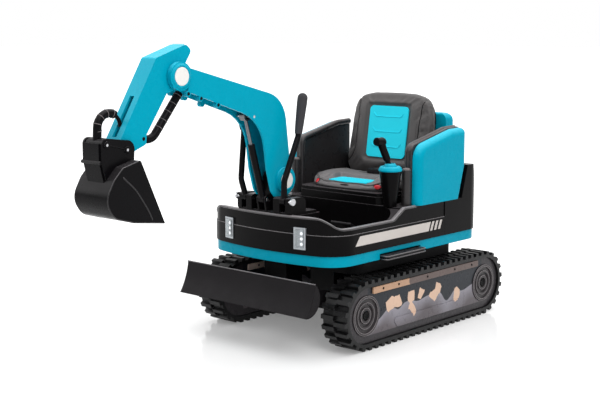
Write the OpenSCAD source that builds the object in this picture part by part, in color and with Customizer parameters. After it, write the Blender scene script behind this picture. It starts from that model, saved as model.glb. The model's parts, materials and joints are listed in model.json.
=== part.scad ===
// Ride-on toy excavator with rubber tracks, a dozer blade, a slewing house with a seat,
// a lever-worked digging arm and a bucket. Millimetres. Front is -Y, up is +Z and the
// driver's left is +X. The ground is z = 0.

/* [Tracks] */
// Overall width over both tracks
track_span = 580; // [540:1:640]
// Distance between the front and rear wheel of a track
wheelbase = 587; // [540:1:640]
// Height of a track from the ground to the top of its lugs
track_h = 200; // [190:1:203]
// Width of one belt
belt_w = 88; // [80:1:96]
// Thickness of the belt without its lugs
belt_t = 10; // [8:0.5:12]
// Height of the lugs
lug_h = 10; // [7:0.5:12]
// Lugs around one row of a belt
lug_n = 60; // [48:2:72]
// Radius of the wheel hub that shows in the side cover
hub_r = 58; // [50:1:62]
// Radius of the axle rods
axle_r = 8; // [6:0.5:10]
// Thickness of the inner track panel
panel_t = 10; // [6:1:14]
// Thickness of the outer track cover
cover_t = 20; // [14:1:24]

/* [Undercarriage] */
// Width of the deck under the house
deck_w = 450; // [400:1:480]
// Reach of the deck in front of the slew axis
deck_front = 272; // [266:1:300]
// Reach of the deck behind the slew axis
deck_rear = 215; // [180:1:250]
// Thickness of the deck
deck_t = 28; // [20:1:32]
// Height of the raised slew track on the deck
slew_ring_h = 6; // [4:0.5:8]
// Outer radius of the slew ring
slew_ring_r = 170; // [150:1:200]
// Radius of the middle column
column_r = 118; // [90:1:122]
// Width of each front leg
leg_w = 90; // [70:1:100]
// Clear gap between the front legs
leg_gap = 96; // [80:1:110]
// Front face of the legs, in front of the slew axis
leg_front = 262; // [250:1:266]
// Depth of the legs
leg_depth = 72; // [60:1:80]
// Radius of the king bolt
king_r = 12; // [10:0.5:16]

/* [Blade] */
// Width of the blade
blade_w = 501; // [460:1:540]
// Height of the blade from its lower to its upper edge
blade_h = 91; // [80:1:96]
// Lower edge of the blade, in front of the slew axis
blade_reach = 506; // [496:1:530]
// Height of the lower edge above the ground
blade_z = 123; // [110:1:126]
// How far the upper edge lies behind the lower one
blade_rake = 34; // [20:1:40]
// Depth of the rounded back of the blade
blade_bulge = 38; // [28:1:44]
// Width of each push arm
arm_w = 20; // [14:1:26]

/* [House] */
// Width of the house
house_w = 510; // [500:1:540]
// Front of the house, in front of the slew axis
nose = 420; // [415:1:440]
// Radius of the front corners
front_corner_r = 90; // [70:1:110]
// How far the centre of the front corners lies behind the nose
corner_back = 110; // [100:1:120]
// Rear of the house, behind the slew axis
tail = 318; // [310:1:340]
// Radius of the rear corners
rear_corner_r = 60; // [40:1:70]
// Height of the coloured skirt
skirt_h = 31; // [26:1:36]
// Height of the dark shell above the skirt
shell_h = 104; // [98:1:110]
// Wall of the moulded shells
wall = 5; // [3:0.5:6]
// Width of the rim round the footwell
rim_w = 27; // [22:1:32]
// How far the rim dips at the doors
entry_dip = 30; // [20:1:36]
// Height of the footwell floor above the shell's lower edge
footwell_z = 13; // [10:1:18]
// Rear wall of the footwell, in front of the slew axis
footwell_rear = 85; // [82:1:95]
// Length of the side step
step_l = 190; // [150:1:200]
// How far the side step stands out of the floor
step_w = 30; // [24:1:34]

/* [Seat] */
// Half width of the seat box
box_half = 172; // [160:1:174]
// Height of the seat box
box_h = 33; // [28:1:40]
// Half width of the seat cushion
cushion_half = 166; // [150:1:168]
// Depth of the seat cushion
cushion_l = 208; // [196:1:210]
// Thickness of the seat cushion
cushion_t = 33; // [28:1:38]
// Half width of the backrest
back_half = 165; // [156:1:172]
// Height of the backrest pad
back_h = 262; // [240:1:280]
// Thickness of the backrest pad
back_t = 36; // [30:1:38]
// Lean of the backrest in degrees
back_lean = 8.5; // [5:0.5:9]
// Height of the side pods above the rim
pod_h = 217; // [205:1:230]
// Width of the dark liner of a pod
liner_w = 18; // [16:1:22]
// Width of the safety strap
strap_w = 24; // [18:1:30]

/* [Arm] */
// Boom foot pivot behind the nose
foot_back = 60; // [56:1:66]
// Boom foot pivot above the rim
foot_up = 93; // [88:1:100]
// Forward reach from the boom foot to the elbow
boom_reach = 396; // [380:1:420]
// Rise from the boom foot to the elbow
boom_rise = 305; // [295:1:315]
// Width over the boom
boom_w = 74; // [70:1:78]
// Wall of the boom
boom_wall = 7; // [5:0.5:8]
// Forward reach from the elbow to the bucket pivot
stick_reach = 178; // [170:1:186]
// Drop from the elbow to the bucket pivot
stick_drop = 175; // [168:1:182]
// Width over the stick
stick_w = 56; // [50:1:57]
// Wall of the stick
stick_wall = 7; // [5:0.5:8]
// Width of the slot in the front of the stick
slot_w = 16; // [14:0.5:20]
// Radius of the round link rods
link_r = 11; // [9:0.5:12]
// Width of the bucket
bucket_w = 130; // [120:1:150]
// Wall of the bucket
bucket_wall = 5; // [3:0.5:7]
// Radius of the elbow pin
elbow_pin_r = 7; // [5:0.5:9]
// Radius of the boom foot pin
foot_pin_r = 9; // [7:0.5:11]
// Radius of the bucket pins
bucket_pin_r = 6; // [4:0.5:7]

/* [Controls] */
// Distance of the levers from the middle
lever_x = 75; // [72:1:80]
// Radius of a lever rod
lever_r = 8.5; // [7:0.5:9]
// Radius of a lever grip near its top
grip_r = 14.5; // [14:0.5:16]
// Length of a lever grip
grip_l = 124; // [100:1:140]
// Radius of the gas spring's barrel
strut_r = 10; // [8:0.5:12]
// Radius of the gas spring's rod
strut_rod_r = 5; // [4:0.5:6]
// Height of the joystick cup
cup_h = 105; // [95:1:112]
// Radius of the joystick cup at its top
cup_r = 33; // [31:0.5:36]
// Width of the foot pedal
pedal_w = 75; // [60:1:84]
// Length of the foot pedal
pedal_l = 84; // [70:1:90]

/* [Hidden] */
$fn = 48;
// Running clearance of a shaft in its hole, on the radius
run = 0.05;
// Clearance between faces that move past each other
pass = 0.4;
// Overlap used only to cut cleanly through a face
cut = 1;

// Heights of the machine, from the ground up
wheel_z = track_h / 2;
deck_z = track_h + 3;
deck_top = deck_z + deck_t;
ring_t = 3;
floor_z = deck_top + slew_ring_h + ring_t;
floor_t = 6;
shell_z = floor_z + skirt_h;
groove_z = shell_z + 57;
rim_z = shell_z + shell_h;
well_z = shell_z + footwell_z;
box_top = rim_z + box_h;
cushion_top = box_top + cushion_t;

// Track layout from the belt inwards
belt_out = track_span / 2;
belt_in = belt_out - belt_w;
belt_r = wheel_z - lug_h;
belt_bore = belt_r - belt_t;
panel_r = belt_bore - 0.5;
wheel_r = belt_bore - 2;
panel_x = belt_in + 4;
cover_x = belt_out - 8 - cover_t;
wheel_x = panel_x + panel_t + 1;
wheel_w = cover_x - 1 - wheel_x;
hub_w = cover_t + 5;
drum_wall = 6;
beam_half = wheelbase / 2 - wheel_r - 8;
beam_wall = 6;
rail_t = 6;

// Middle column, king bolt and front legs
column_z = 60;
column_roof = 180;
column_wall = 10;
cross_z = 70;
cross_h = 110;
cross_y = 40;
cross_l = 130;
cross_wall = 8;
nut_t = 12;
ring_w = 20;
leg_z = 85;
leg_wall = 12;
leg_out = leg_gap / 2 + leg_w;

// Blade and its pivot as [y, z], in the middle of the legs
blade_pivot = [-leg_front + leg_depth / 2, 120];
blade_low = [-blade_reach, blade_z];
blade_high = [-blade_reach + blade_rake, blade_z + blade_h];
arm_x = leg_out + 3 + arm_w / 2;
arm_r = 16;

// House outline: two corner arcs and a wide front arc that touches both
corner_x = house_w / 2 - front_corner_r;
front_corner_y = nose - corner_back;
front_r = (corner_x * corner_x + corner_back * corner_back - front_corner_r * front_corner_r)
    / (2 * (corner_back - front_corner_r));
front_a = atan2(corner_x, front_r - corner_back);
groove_in = 2.5;
floor_in = 2 * wall;
shell_in = groove_in + wall;
split_y = 120;
post_half = 108;
post_rear = 290;
step_t = 12;

// Lamps on the front
lamp_x = 138;
lamp_z = shell_z + 46;
lamp_w = 38;
lamp_h = 62;
lamp_t = 3;
lens_t = 2;

// Seat and pods
box_front = -footwell_rear + 3;
box_rear = 196;
cushion_y = box_front + 20 + cushion_l / 2;
cushion_droop = 0.35;
insert_t = 5;
insert_tilt = 2;
insert_z = box_top + 17;
// Hollow across the top of the cushion
dish = 8;
dish_half = 130;
dish_r = (dish_half * dish_half + dish * dish) / (2 * dish);
strap_t = 2;
strap_y = cushion_y + 53;
liner_in = house_w / 2 - 45;
liner_out = liner_in + liner_w;
liner_rise = 3;
back_at = [200, box_top + 156];
back_taper = 0.04;
back_shell_t = 10;
shell_low = back_half * (1 + back_taper) - 12;
shell_high = back_half * (1 - back_taper) - 12;
hood_z = rim_z + 101;
hood_h = 156;
hood_half = 172;
hood_front = tail - 82;
weight_lean = 44;
hood_rear = tail - weight_lean;
hood_r = 25;
liner_r = 8;
pod_r = 22;
pod_seam_r = 2;
pod_front_r = 48;
liner_front_r = 24;
pod_front = -15;
pod_rear = 203;
pod_back = 234;
post_at = [219, -29];
side_post_r = 14;

// Boom, stick and bucket pivots as [y, z]
foot = [-nose + foot_back, rim_z + foot_up];
elbow = foot + [-boom_reach, boom_rise];
tip = elbow + [-stick_reach, -stick_drop];
link_pin = tip + [-64, 16];
rod_pin = elbow + [-116, -153];
rod_pin_r = 5;
boom_in = boom_w / 2 - boom_wall;
stick_in = stick_w / 2 - stick_wall;
web_t = 6;
collar_r = 37;
collar_t = 7;
cap_r = 24;
cap_t = 3;
pin_end = boom_w / 2 + collar_t - 0.3;
ear_in = stick_w / 2 + 2;
ear_t = 7;
ear_out = ear_in + ear_t;
tongue_r = 5;

// Gas spring from its lower to its upper pivot as [y, z]
strut_low = foot + [-51, -53];
strut_high = foot + [-122, 186];
strut_l = norm(strut_high - strut_low);
strut_a = atan2(strut_high.x - strut_low.x, strut_high.y - strut_low.y);
strut_pin_r = 5;
strut_top_r = 4;
strut_slack = 4.5;
strut_half = strut_r;
barrel_l = 165;
barrel_floor = 30;
rod_start = 100;

// Boom foot bracket
bracket_half = 104;
bracket_t = 8;
bracket_top = rim_z + bracket_t;
upright_half = boom_in - 7;
upright_r = 28;
ear_gap = strut_half + 1;
block_in = boom_w / 2 + 5;
block_h = 42;

// Lever pivot and bends as [y, z] from it
lever_foot = [foot.x - 44, rim_z + 40];
lever_bends = [[0, 0], [0, 55], [58, 177], [68, 233]];
lever_bend_r = 40;
lever_pin_r = 6;
lever_hub_r = 11;
lever_hub_w = 2 * lever_r + 1;
right_lever_tilt = 20;

// Joystick and pedal
cup_at = [195, -75];
ring_z = rim_z + cup_h;
ring_h = 14;
gimbal_z = ring_z + ring_h / 2;
gimbal_r = 20;
gimbal_hole = 13;
gimbal_t = 8;
cup_wall = 4;
cup_foot_r = cup_r - 14;
stick_lean = [21, -9.5];
pedal_x = 104;
pedal_at = [-footwell_rear - 33, well_z + 8];
pedal_t = 8;
pedal_rise = 27.5;
pedal_pin_r = 4;
lug_t = 6;

teal = "#00acc8";
teal_light = "#2dd2e6";
black = "#201e20";
grey = "#46464a";
seat_grey = "#464242";
steel = "#9a9da0";
silver = "#c0c4c6";
white = "#f0f0ee";
camo = "#5c5a60";
rubber = "#1a1a1c";

// Shared shapes

// Everything is drawn about the slew axis and then moved to the middle of the machine's length
module placed() translate([0, slew_y, 0]) children();

// Extrude a profile drawn as [y, z] across the machine, centred on x
module across(w, x = 0) translate([x, 0, 0]) rotate([90, 0, 90])
    linear_extrude(height = w, center = true) children();

// Extrude a profile drawn as [x, z] from y0 to y1
module along(y0, y1) translate([0, y1, 0]) rotate([90, 0, 0])
    linear_extrude(height = y1 - y0) children();

// Extrude a plan drawn as [x, y] upwards from height z
module plate(z, h) translate([0, 0, z]) linear_extrude(height = h) children();

// Round bar along x, centred on x, through the point p = [y, z]
module bar(r, w, p, x = 0) translate([x, p.x, p.y]) rotate([0, 90, 0])
    cylinder(r = r, h = w, center = true);

// Round rod from a to b, both [y, z], in the plane at x
module rod(r, a, b, x = 0) translate([x, a.x, a.y]) rotate([atan2(a.x - b.x, b.y - a.y), 0, 0])
    cylinder(r = r, h = norm(b - a));

// Part of a round ring about the centre m = [y, z], from angle a0 over turn degrees
module bend(r, m, radius, a0, turn) translate([0, m.x, m.y]) rotate([90, 0, 90]) rotate([0, 0, a0])
    rotate_extrude(angle = turn) translate([radius, 0]) circle(r = r);

// Where a bend of the given radius at b begins, on the way from a to b and on to c
function bend_start(a, b, c, radius) =
    b + unit(a - b) * radius / tan(acos(unit(a - b) * unit(c - b)) / 2);
function bend_centre(a, b, c, radius) = let (u = unit(a - b), v = unit(c - b))
    b + unit(u + v) * radius / sin(acos(u * v) / 2);
function angle_of(v) = atan2(v.y, v.x);

// Round rod through points given as [y, z], bent with one radius. Each bend is a touch thinner
// and runs on into the straight stretches.
module bent_rod(r, pts, radius) {
    last = len(pts) - 1;
    for (i = [0:last - 1]) rod(r,
        i == 0 ? pts[0] : bend_start(pts[i + 1], pts[i], pts[i - 1], radius),
        i == last - 1 ? pts[last] : bend_start(pts[i], pts[i + 1], pts[i + 2], radius));
    for (i = [1:last - 1]) {
        m = bend_centre(pts[i - 1], pts[i], pts[i + 1], radius);
        a0 = angle_of(bend_start(pts[i - 1], pts[i], pts[i + 1], radius) - m);
        a1 = angle_of(bend_start(pts[i + 1], pts[i], pts[i - 1], radius) - m);
        turn = (a1 - a0 + 540) % 360 - 180;
        bend(r - 0.2, m, radius, min(a0, a0 + turn) - 4, abs(turn) + 8);
    }
}

module both() {
    children();
    mirror([1, 0, 0]) children();
}

module spot(p, r) translate(p) circle(r = r);

function unit(v) = v / norm(v);
function left_of(p, q) = let (u = unit(q - p)) [-u.y, u.x];

// Corner b of a path a, b, c, moved by d to the left of the way
function shifted(a, b, c, d) = let (n = left_of(a, b), m = left_of(b, c)) b + d * (n + m) / (1 + n * m);

// Points of the arc that rounds corner b between a and c
function corner_arc(a, b, c, r, n = 6) =
    let (u = unit(a - b), v = unit(c - b), half = acos(u * v) / 2)
    let (m = b + unit(u + v) * (r / sin(half)))
    let (p = b + u * (r / tan(half)) - m, q = b + v * (r / tan(half)) - m)
    let (a0 = atan2(p.y, p.x), turn = (atan2(q.y, q.x) - a0 + 540) % 360 - 180)
    [for (i = [0:n]) m + r * [cos(a0 + turn * i / n), sin(a0 + turn * i / n)]];

// Outline from corners given as [a, b, radius]
function flat(p) = [p[0], p[1]];
function rounded(path) = let (n = len(path)) [
    for (i = [0:n - 1])
        let (p = path[i], a = path[(i + n - 1) % n], c = path[(i + 1) % n])
        each p[2] > 0 ? corner_arc(flat(a), flat(p), flat(c), p[2]) : [flat(p)]
];
function by(p, a, b, r = 0) = [p.x + a, p.y + b, r];
function box_path(x0, y0, x1, y1, r) = [[x0, y0, r], [x1, y0, r], [x1, y1, r], [x0, y1, r]];

// Strip of thickness t on the right of the way a, b, c, with the corner b rounded by r
function strip(a, b, c, t, r) =
    let (a1 = a - t * left_of(a, b), b1 = shifted(a, b, c, -t), c1 = c - t * left_of(b, c))
    let (inner = r > t ? corner_arc(a1, b1, c1, r - t) : [b1], last = len(inner) - 1)
    concat([a], r > 0 ? corner_arc(a, b, c, r) : [b], [c, c1], [for (i = [last:-1:0]) inner[i]], [a1]);

// Arc from p to q that bulges by sag to the left of the way, or to the right if sag is below 0
function bow(p, q, sag, n = 14) =
    let (c = norm(q - p), s = abs(sag), r = (c * c / 4 + s * s) / (2 * s), u = unit(q - p))
    let (side = [-u.y, u.x] * sign(sag), m = (p + q) / 2 - side * (r - s), half = asin(c / 2 / r))
    [for (i = [0:n]) let (t = -half + 2 * half * i / n) m + r * (side * cos(t) + u * sin(t))];

// House plan as [x, y], moved inwards by d
function house_half(d) = concat(
    [for (i = [0:6]) let (t = front_a * i / 6)
        [(front_r - d) * sin(t), -nose + front_r - (front_r - d) * cos(t)]],
    [for (i = [1:8]) let (t = front_a + (90 - front_a) * i / 8)
        [corner_x + (front_corner_r - d) * sin(t), -front_corner_y - (front_corner_r - d) * cos(t)]],
    [for (i = [0:8]) let (t = 90 * i / 8, r = rear_corner_r - d)
        [house_w / 2 - rear_corner_r + r * cos(t), tail - rear_corner_r + r * sin(t)]]
);
function house_outline(d) = let (h = house_half(d))
    concat(h, [for (i = [len(h) - 1:-1:1]) [-h[i].x, h[i].y]]);
module house_plan(d) polygon(house_outline(d));

// House plan between two y values
module house_band(d, y0, y1) intersection() {
    house_plan(d);
    translate([-house_w, y0]) square([2 * house_w, y1 - y0]);
}

// One ring of a stuffed pad: half sizes hx and hy, squareness of its far and near half, sides that
// draw together by taper and a near edge that is lower by droop
function pad_ring(hx, hy, far, near, taper, droop, h, n) = [
    for (i = [0:n - 1])
        let (a = 360 * (i + 0.5) / n, c = cos(a), s = sin(a), m = s > 0 ? far : near)
        let (v = sign(s) * pow(abs(s), 2 / m))
        [sign(c) * pow(abs(c), 2 / m) * hx * (1 - taper * v), v * hy, h * (1 - droop * pow(max(0, -v), 3))]
];

// Closed pad through rings given as [inset, height]
module pad(hx, hy, far, near, taper, droop, rings, n = 60) {
    count = len(rings);
    points = concat(
        [for (r = rings) each pad_ring(hx - r[0], hy - r[0], far, near, taper, droop, r[1], n)],
        [[0, 0, rings[0][1]], [0, 0, rings[count - 1][1]]]
    );
    low = count * n;
    side = [for (k = [0:count - 2], i = [0:n - 1]) let (j = (i + 1) % n, a = k * n, b = a + n)
        each [[a + i, b + i, b + j], [a + i, b + j, a + j]]];
    ends = [for (i = [0:n - 1]) let (j = (i + 1) % n, b = (count - 1) * n)
        each [[low, i, j], [low + 1, b + j, b + i]]];
    polyhedron(points = points, faces = concat(side, ends));
}

// Closed solid through rings of equally many points
module loft(rings) {
    n = len(rings[0]);
    last = (len(rings) - 1) * n;
    side = [for (a = [0:n:last - n], i = [0:n - 1]) let (j = (i + 1) % n, b = a + n)
        each [[a + i, b + i, b + j], [a + i, b + j, a + j]]];
    polyhedron(
        points = [for (r = rings) each r],
        faces = concat(side, [[for (i = [0:n - 1]) i], [for (i = [n - 1:-1:0]) last + i]])
    );
}

// Undercarriage

// Middle column, cross beam to both tracks and front legs, all open below
module chassis_frame() placed() color(black) {
    difference() {
        union() {
            plate(column_z, deck_z - column_z) circle(r = column_r, $fn = 96);
            translate([-panel_x, cross_y, cross_z]) cube([2 * panel_x, cross_l, cross_h]);
        }
        plate(column_z, deck_z) circle(r = king_r + run);
        plate(column_z - cut, column_roof - column_z + cut) circle(r = column_r - column_wall, $fn = 96);
        both() translate([column_r, cross_y + cross_wall, cross_z - cut])
            cube([panel_x - column_r - cross_wall, cross_l - 2 * cross_wall, cross_h - cross_wall + cut]);
    }
    both() front_leg();
}

module chassis_deck() placed() color(black) difference() {
    union() {
        plate(deck_z, deck_t) polygon(rounded(
            box_path(-deck_w / 2, -deck_front, deck_w / 2, deck_rear, 40)));
        plate(deck_top - cut, slew_ring_h + cut) difference() {
            circle(r = slew_ring_r, $fn = 96);
            circle(r = slew_ring_r - ring_w, $fn = 96);
        }
    }
    plate(deck_z - cut, deck_t + 2 * cut) circle(r = king_r + run);
    plate(deck_z - cut, deck_t - wall) difference() {
        square([deck_w - 40, 2 * (leg_front - leg_depth) - 10], center = true);
        circle(r = column_r + 10, $fn = 96);
    }
}

module front_leg() difference() {
    translate([leg_gap / 2, -leg_front, leg_z]) cube([leg_w, leg_depth, deck_z - leg_z]);
    bar(axle_r + run, 3 * leg_w, blade_pivot, leg_out);
    translate([leg_gap / 2 + leg_wall, -leg_front + leg_wall, leg_z - cut])
        cube([leg_w - 2 * leg_wall, leg_depth - 2 * leg_wall, 20]);
}

module king_bolt() placed() color(steel) {
    plate(column_roof - nut_t, nut_t) circle(r = 2 * king_r, $fn = 6);
    plate(column_roof - nut_t, floor_z + floor_t - column_roof + 2 * nut_t) circle(r = king_r);
    plate(floor_z + floor_t, nut_t) circle(r = 2 * king_r, $fn = 6);
}

// Long round-ended shape of a track
module stadium(r) {
    translate([0, wheel_z]) square([wheelbase, 2 * r], center = true);
    for (s = [-1, 1]) spot([s * wheelbase / 2, wheel_z], r);
}

// Inner side panel of a track with the hollow beam that carries the outer cover
module track_panels() placed() color(camo) both() difference() {
    union() {
        across(panel_t, panel_x + panel_t / 2) stadium(panel_r);
        translate([panel_x, -beam_half, wheel_z - 45]) cube([cover_x - panel_x, 2 * beam_half, 90]);
    }
    for (s = [-1, 1]) bar(axle_r + run, 4 * panel_t, [s * wheelbase / 2, wheel_z], panel_x);
    translate([wheel_x + beam_wall, -beam_half + beam_wall, wheel_z - 45 - cut])
        cube([wheel_w - beam_wall, 2 * (beam_half - beam_wall), 90 - beam_wall]);
}

// Outer side cover with round windows for the hubs and a raised lower panel
module track_covers() placed() color(camo) both() difference() {
    union() {
        across(cover_t, cover_x + cover_t / 2) stadium(panel_r);
        across(3, cover_x + cover_t + 1) polygon(rounded([
            [-150, wheel_z - 58, 8], [150, wheel_z - 58, 8], [172, wheel_z - 30, 8], [-172, wheel_z - 30, 8]
        ]));
    }
    for (s = [-1, 1]) bar(hub_r + pass, 4 * cover_t, [s * wheelbase / 2, wheel_z], cover_x);
}

// Point on the belt: way s along it and height h above its outer face
function belt_point(s, h) =
    let (arc = PI * belt_r, r = belt_r + h, half = wheelbase / 2)
    s < wheelbase ? [half - s, wheel_z - r]
    : s < wheelbase + arc
        ? let (t = (s - wheelbase) / arc * 180) [-half - r * sin(t), wheel_z - r * cos(t)]
    : s < 2 * wheelbase + arc ? [s - wheelbase - arc - half, wheel_z + r]
    : let (t = (s - 2 * wheelbase - arc) / arc * 180) [half + r * sin(t), wheel_z + r * cos(t)];

// Half of a belt's width, with its lugs set off along the belt by a share of their pitch
module lug_row(x, share) {
    way = 2 * wheelbase + 2 * PI * belt_r;
    pitch = way / lug_n;
    lug = [[0, 0], [0.07, 1], [0.45, 1], [0.52, 0]];
    across(belt_w / 2, x) difference() {
        polygon([for (i = [0:lug_n - 1], p = lug)
            belt_point(((i + share + p[0]) * pitch) % way, p[1] * lug_h)]);
        stadium(belt_bore);
    }
}

module belt() {
    lug_row(belt_in + belt_w / 4, 0);
    lug_row(belt_out - belt_w / 4, 0.5);
}

module track_belt_left() placed() color(rubber) belt();
module track_belt_right() placed() color(rubber) mirror([1, 0, 0]) belt();

// Flat rails along the top of each track, outside and in front of the cross beam inside
module side_rails() placed() color(camo) both() {
    across(rail_t, cover_x + cover_t + rail_t / 2) rail_profile(258);
    across(rail_t, panel_x - rail_t / 2) rail_profile(cross_y - 10);
}

module rail_profile(end) polygon(rounded(
    box_path(-266, wheel_z + hub_r, end, wheel_z + panel_r - 2, 3)));

// Rear axle, two headed front stub axles and the two stub rods that the blade arms swing on
module axle_rods() placed() color(steel) {
    axle_end = wheel_x + wheel_w + hub_w - 8;
    front = [-wheelbase / 2, wheel_z];
    stub = leg_w + arm_w + 8;
    bar(axle_r, 2 * axle_end, [wheelbase / 2, wheel_z]);
    both() {
        bar(axle_r, axle_end - panel_x, front, (axle_end + panel_x) / 2);
        bar(axle_r + 6, 6, front, panel_x - 3);
        bar(axle_r, stub, blade_pivot, leg_gap / 2 + stub / 2);
    }
}

module drive_motors() placed() color(grey) both() difference() {
    union() {
        translate([panel_x - 70, wheelbase / 2 - 45, wheel_z - 35]) cube([70, 80, 70]);
        bar(26, 62, [wheelbase / 2 - 12, wheel_z + 4], panel_x - 100);
    }
    bar(axle_r + run, 400, [wheelbase / 2, wheel_z], panel_x - 100);
}

// Wheel with a wide drum for the belt and a stepped hub in the cover's window
module wheel(y) translate([wheel_x, y, wheel_z]) rotate([0, 90, 0]) rotate_extrude($fn = 96)
    polygon([
        [axle_r + run, 0], [axle_r + 10, 0], [axle_r + 10, wheel_w - drum_wall],
        [wheel_r - drum_wall, wheel_w - drum_wall], [wheel_r - drum_wall, 0],
        [wheel_r, 0], [wheel_r, wheel_w], [hub_r, wheel_w],
        [hub_r, wheel_w + hub_w - 2], [hub_r - 2, wheel_w + hub_w], [hub_r - 7, wheel_w + hub_w],
        [hub_r - 9, wheel_w + hub_w - 5], [hub_r - 19, wheel_w + hub_w - 5],
        [hub_r - 20, wheel_w + hub_w - 2], [hub_r - 26, wheel_w + hub_w - 2],
        [hub_r - 28, wheel_w + hub_w - 7], [hub_r - 34, wheel_w + hub_w - 7],
        [hub_r - 36, wheel_w + hub_w - 3], [axle_r + 7, wheel_w + hub_w - 3],
        [axle_r + 7, wheel_w + hub_w - 9], [axle_r + run, wheel_w + hub_w - 9]
    ]);

module idler_wheel_left() placed() color(grey) wheel(-wheelbase / 2);
module idler_wheel_right() placed() color(grey) mirror([1, 0, 0]) wheel(-wheelbase / 2);
module drive_wheel_left() placed() color(grey) wheel(wheelbase / 2);
module drive_wheel_right() placed() color(grey) mirror([1, 0, 0]) wheel(wheelbase / 2);

// Blade with a hollow front face and a rounded back
module blade_profile() polygon(concat(
    bow(blade_low, blade_high, -6), bow(blade_high, blade_low, blade_bulge)
));

module dozer_blade() placed() color(black) across(blade_w) blade_profile();

module blade_arms() placed() color(black) both() difference() {
    across(arm_w, arm_x) {
        spot(blade_pivot, arm_r);
        polygon([
            blade_pivot + [0, -arm_r], blade_pivot + [0, arm_r],
            blade_high + [6, -24], blade_low + [14, 20]
        ]);
    }
    across(2 * blade_w) blade_profile();
    bar(axle_r + run, 2 * arm_w, blade_pivot, arm_x);
}

// House

module house_floor() placed() color(black) plate(floor_z, floor_t) difference() {
    house_plan(floor_in);
    circle(r = king_r + run);
}

module slew_ring() placed() color(steel) plate(floor_z - ring_t, ring_t) difference() {
    circle(r = slew_ring_r - 1, $fn = 96);
    circle(r = slew_ring_r - ring_w + 1, $fn = 96);
}

module house_skirt() placed() color(teal) difference() {
    plate(floor_z, skirt_h) difference() {
        house_plan(wall - 1);
        house_plan(floor_in);
    }
    both() translate([house_w / 2 - 40, -step_l - 2, floor_z - cut])
        cube([80, step_l + 4, step_t + 4 + cut]);
}

// Footwell plan round the boom post, moved outwards by d
module well_plan(d) {
    half = house_w / 2 - rim_w + d;
    difference() {
        intersection() {
            house_plan(rim_w - d);
            polygon(rounded([
                [-half, -2 * nose, 0], [half, -2 * nose, 0],
                [half, -footwell_rear + d, 45], [-half, -footwell_rear + d, 45]
            ]));
        }
        polygon(rounded([
            [-post_half + d, -2 * nose, 0], [post_half - d, -2 * nose, 0],
            [post_half - d, -post_rear - d, 20], [-post_half + d, -post_rear - d, 20]
        ]));
    }
}

// What is cut off above the rim where it dips at the doors
module door_cut() both() across(house_w / 2 - post_half, house_w / 4 + post_half / 2 + 1)
    polygon(rounded([
        [-nose + 12, rim_z + 60, 0], [-nose + 12, rim_z + 6, 0], [-nose + 62, rim_z - entry_dip, 40],
        [-footwell_rear - 45, rim_z - entry_dip, 30], [-footwell_rear + 15, rim_z + 6, 0],
        [-footwell_rear + 15, rim_z + 60, 0]
    ]));

// Outer wall of the house and the hollow rim round the footwell
module house_tub() placed() color(black) difference() {
    union() {
        plate(shell_z, groove_z - shell_z) house_band(0, -2 * nose, split_y);
        plate(shell_z, shell_h) house_band(groove_in, -2 * nose, split_y);
    }
    plate(shell_z - cut, footwell_z + cut) house_band(shell_in, -2 * nose, split_y + cut);
    plate(shell_z - cut, shell_h + 2 * cut) house_band(shell_in, -footwell_rear, split_y + cut);
    plate(shell_z - cut, shell_h + 2 * cut) post_plan(0);
    plate(shell_z - cut, shell_h - entry_dip - wall + cut) difference() {
        house_band(shell_in, -2 * nose, split_y);
        well_plan(wall);
    }
    plate(well_z - cut, shell_h) well_plan(0);
    door_cut();
}

// Plan of the boom post between the front wall and the footwell, moved inwards by d
module post_plan(d) intersection() {
    house_plan(shell_in + d);
    translate([-post_half + d, -nose]) square([2 * (post_half - d), nose - post_rear - d]);
}

// Footwell floor with the hollow boom post and the two lugs that hold the pedal
module footwell_pan() placed() color(black) difference() {
    union() {
        plate(well_z - wall, wall) house_band(shell_in, -2 * nose, -footwell_rear);
        plate(well_z - cut, rim_z - well_z + cut) post_plan(0);
        for (s = [-1, 1]) translate([
            pedal_x + s * (pedal_w / 2 + 1 + lug_t / 2) - lug_t / 2, pedal_at.x - 8, well_z - 1
        ]) cube([lug_t, 16, 17]);
    }
    plate(well_z - wall - cut, rim_z - well_z + cut) post_plan(2 * wall);
    bar(pedal_pin_r + run, pedal_w + 4 * lug_t, pedal_at, pedal_x);
}

module counterweight() placed() color(black) difference() {
    intersection() {
        across(house_w) polygon(weight_path(0));
        plate(shell_z, hood_z) house_band(0, split_y, 2 * tail);
    }
    intersection() {
        across(house_w) polygon(weight_path(wall));
        plate(shell_z - cut, hood_z) house_band(wall, 0, 2 * tail);
    }
}

// Side view of the counterweight, moved inwards by d and open below and in front
function weight_path(d) = [
    [split_y - d, shell_z - d], [split_y - d, rim_z - d], [pod_rear + 5 + d, rim_z - d],
    [pod_back + 5 + d, hood_z - d], [tail - weight_lean - d, hood_z - d], [tail - d, shell_z + 29],
    [tail - d, shell_z - d]
];

module rear_hood() placed() color(teal) difference() {
    intersection() {
        along(hood_front, hood_rear) polygon(rounded([
            [-hood_half, hood_z, 0], [hood_half, hood_z, 0],
            [hood_half, hood_z + hood_h, hood_r], [-hood_half, hood_z + hood_h, hood_r]
        ]));
        across(house_w) polygon(rounded([
            [hood_front, hood_z, 0], [hood_front, hood_z + hood_h, 8],
            [hood_rear, hood_z + hood_h, 20], [hood_rear, hood_z, 0]
        ]));
    }
    translate([-hood_half + wall, hood_front + wall, hood_z - cut])
        cube([2 * (hood_half - wall), hood_rear - hood_front - 2 * wall, hood_h - hood_r]);
}

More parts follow.
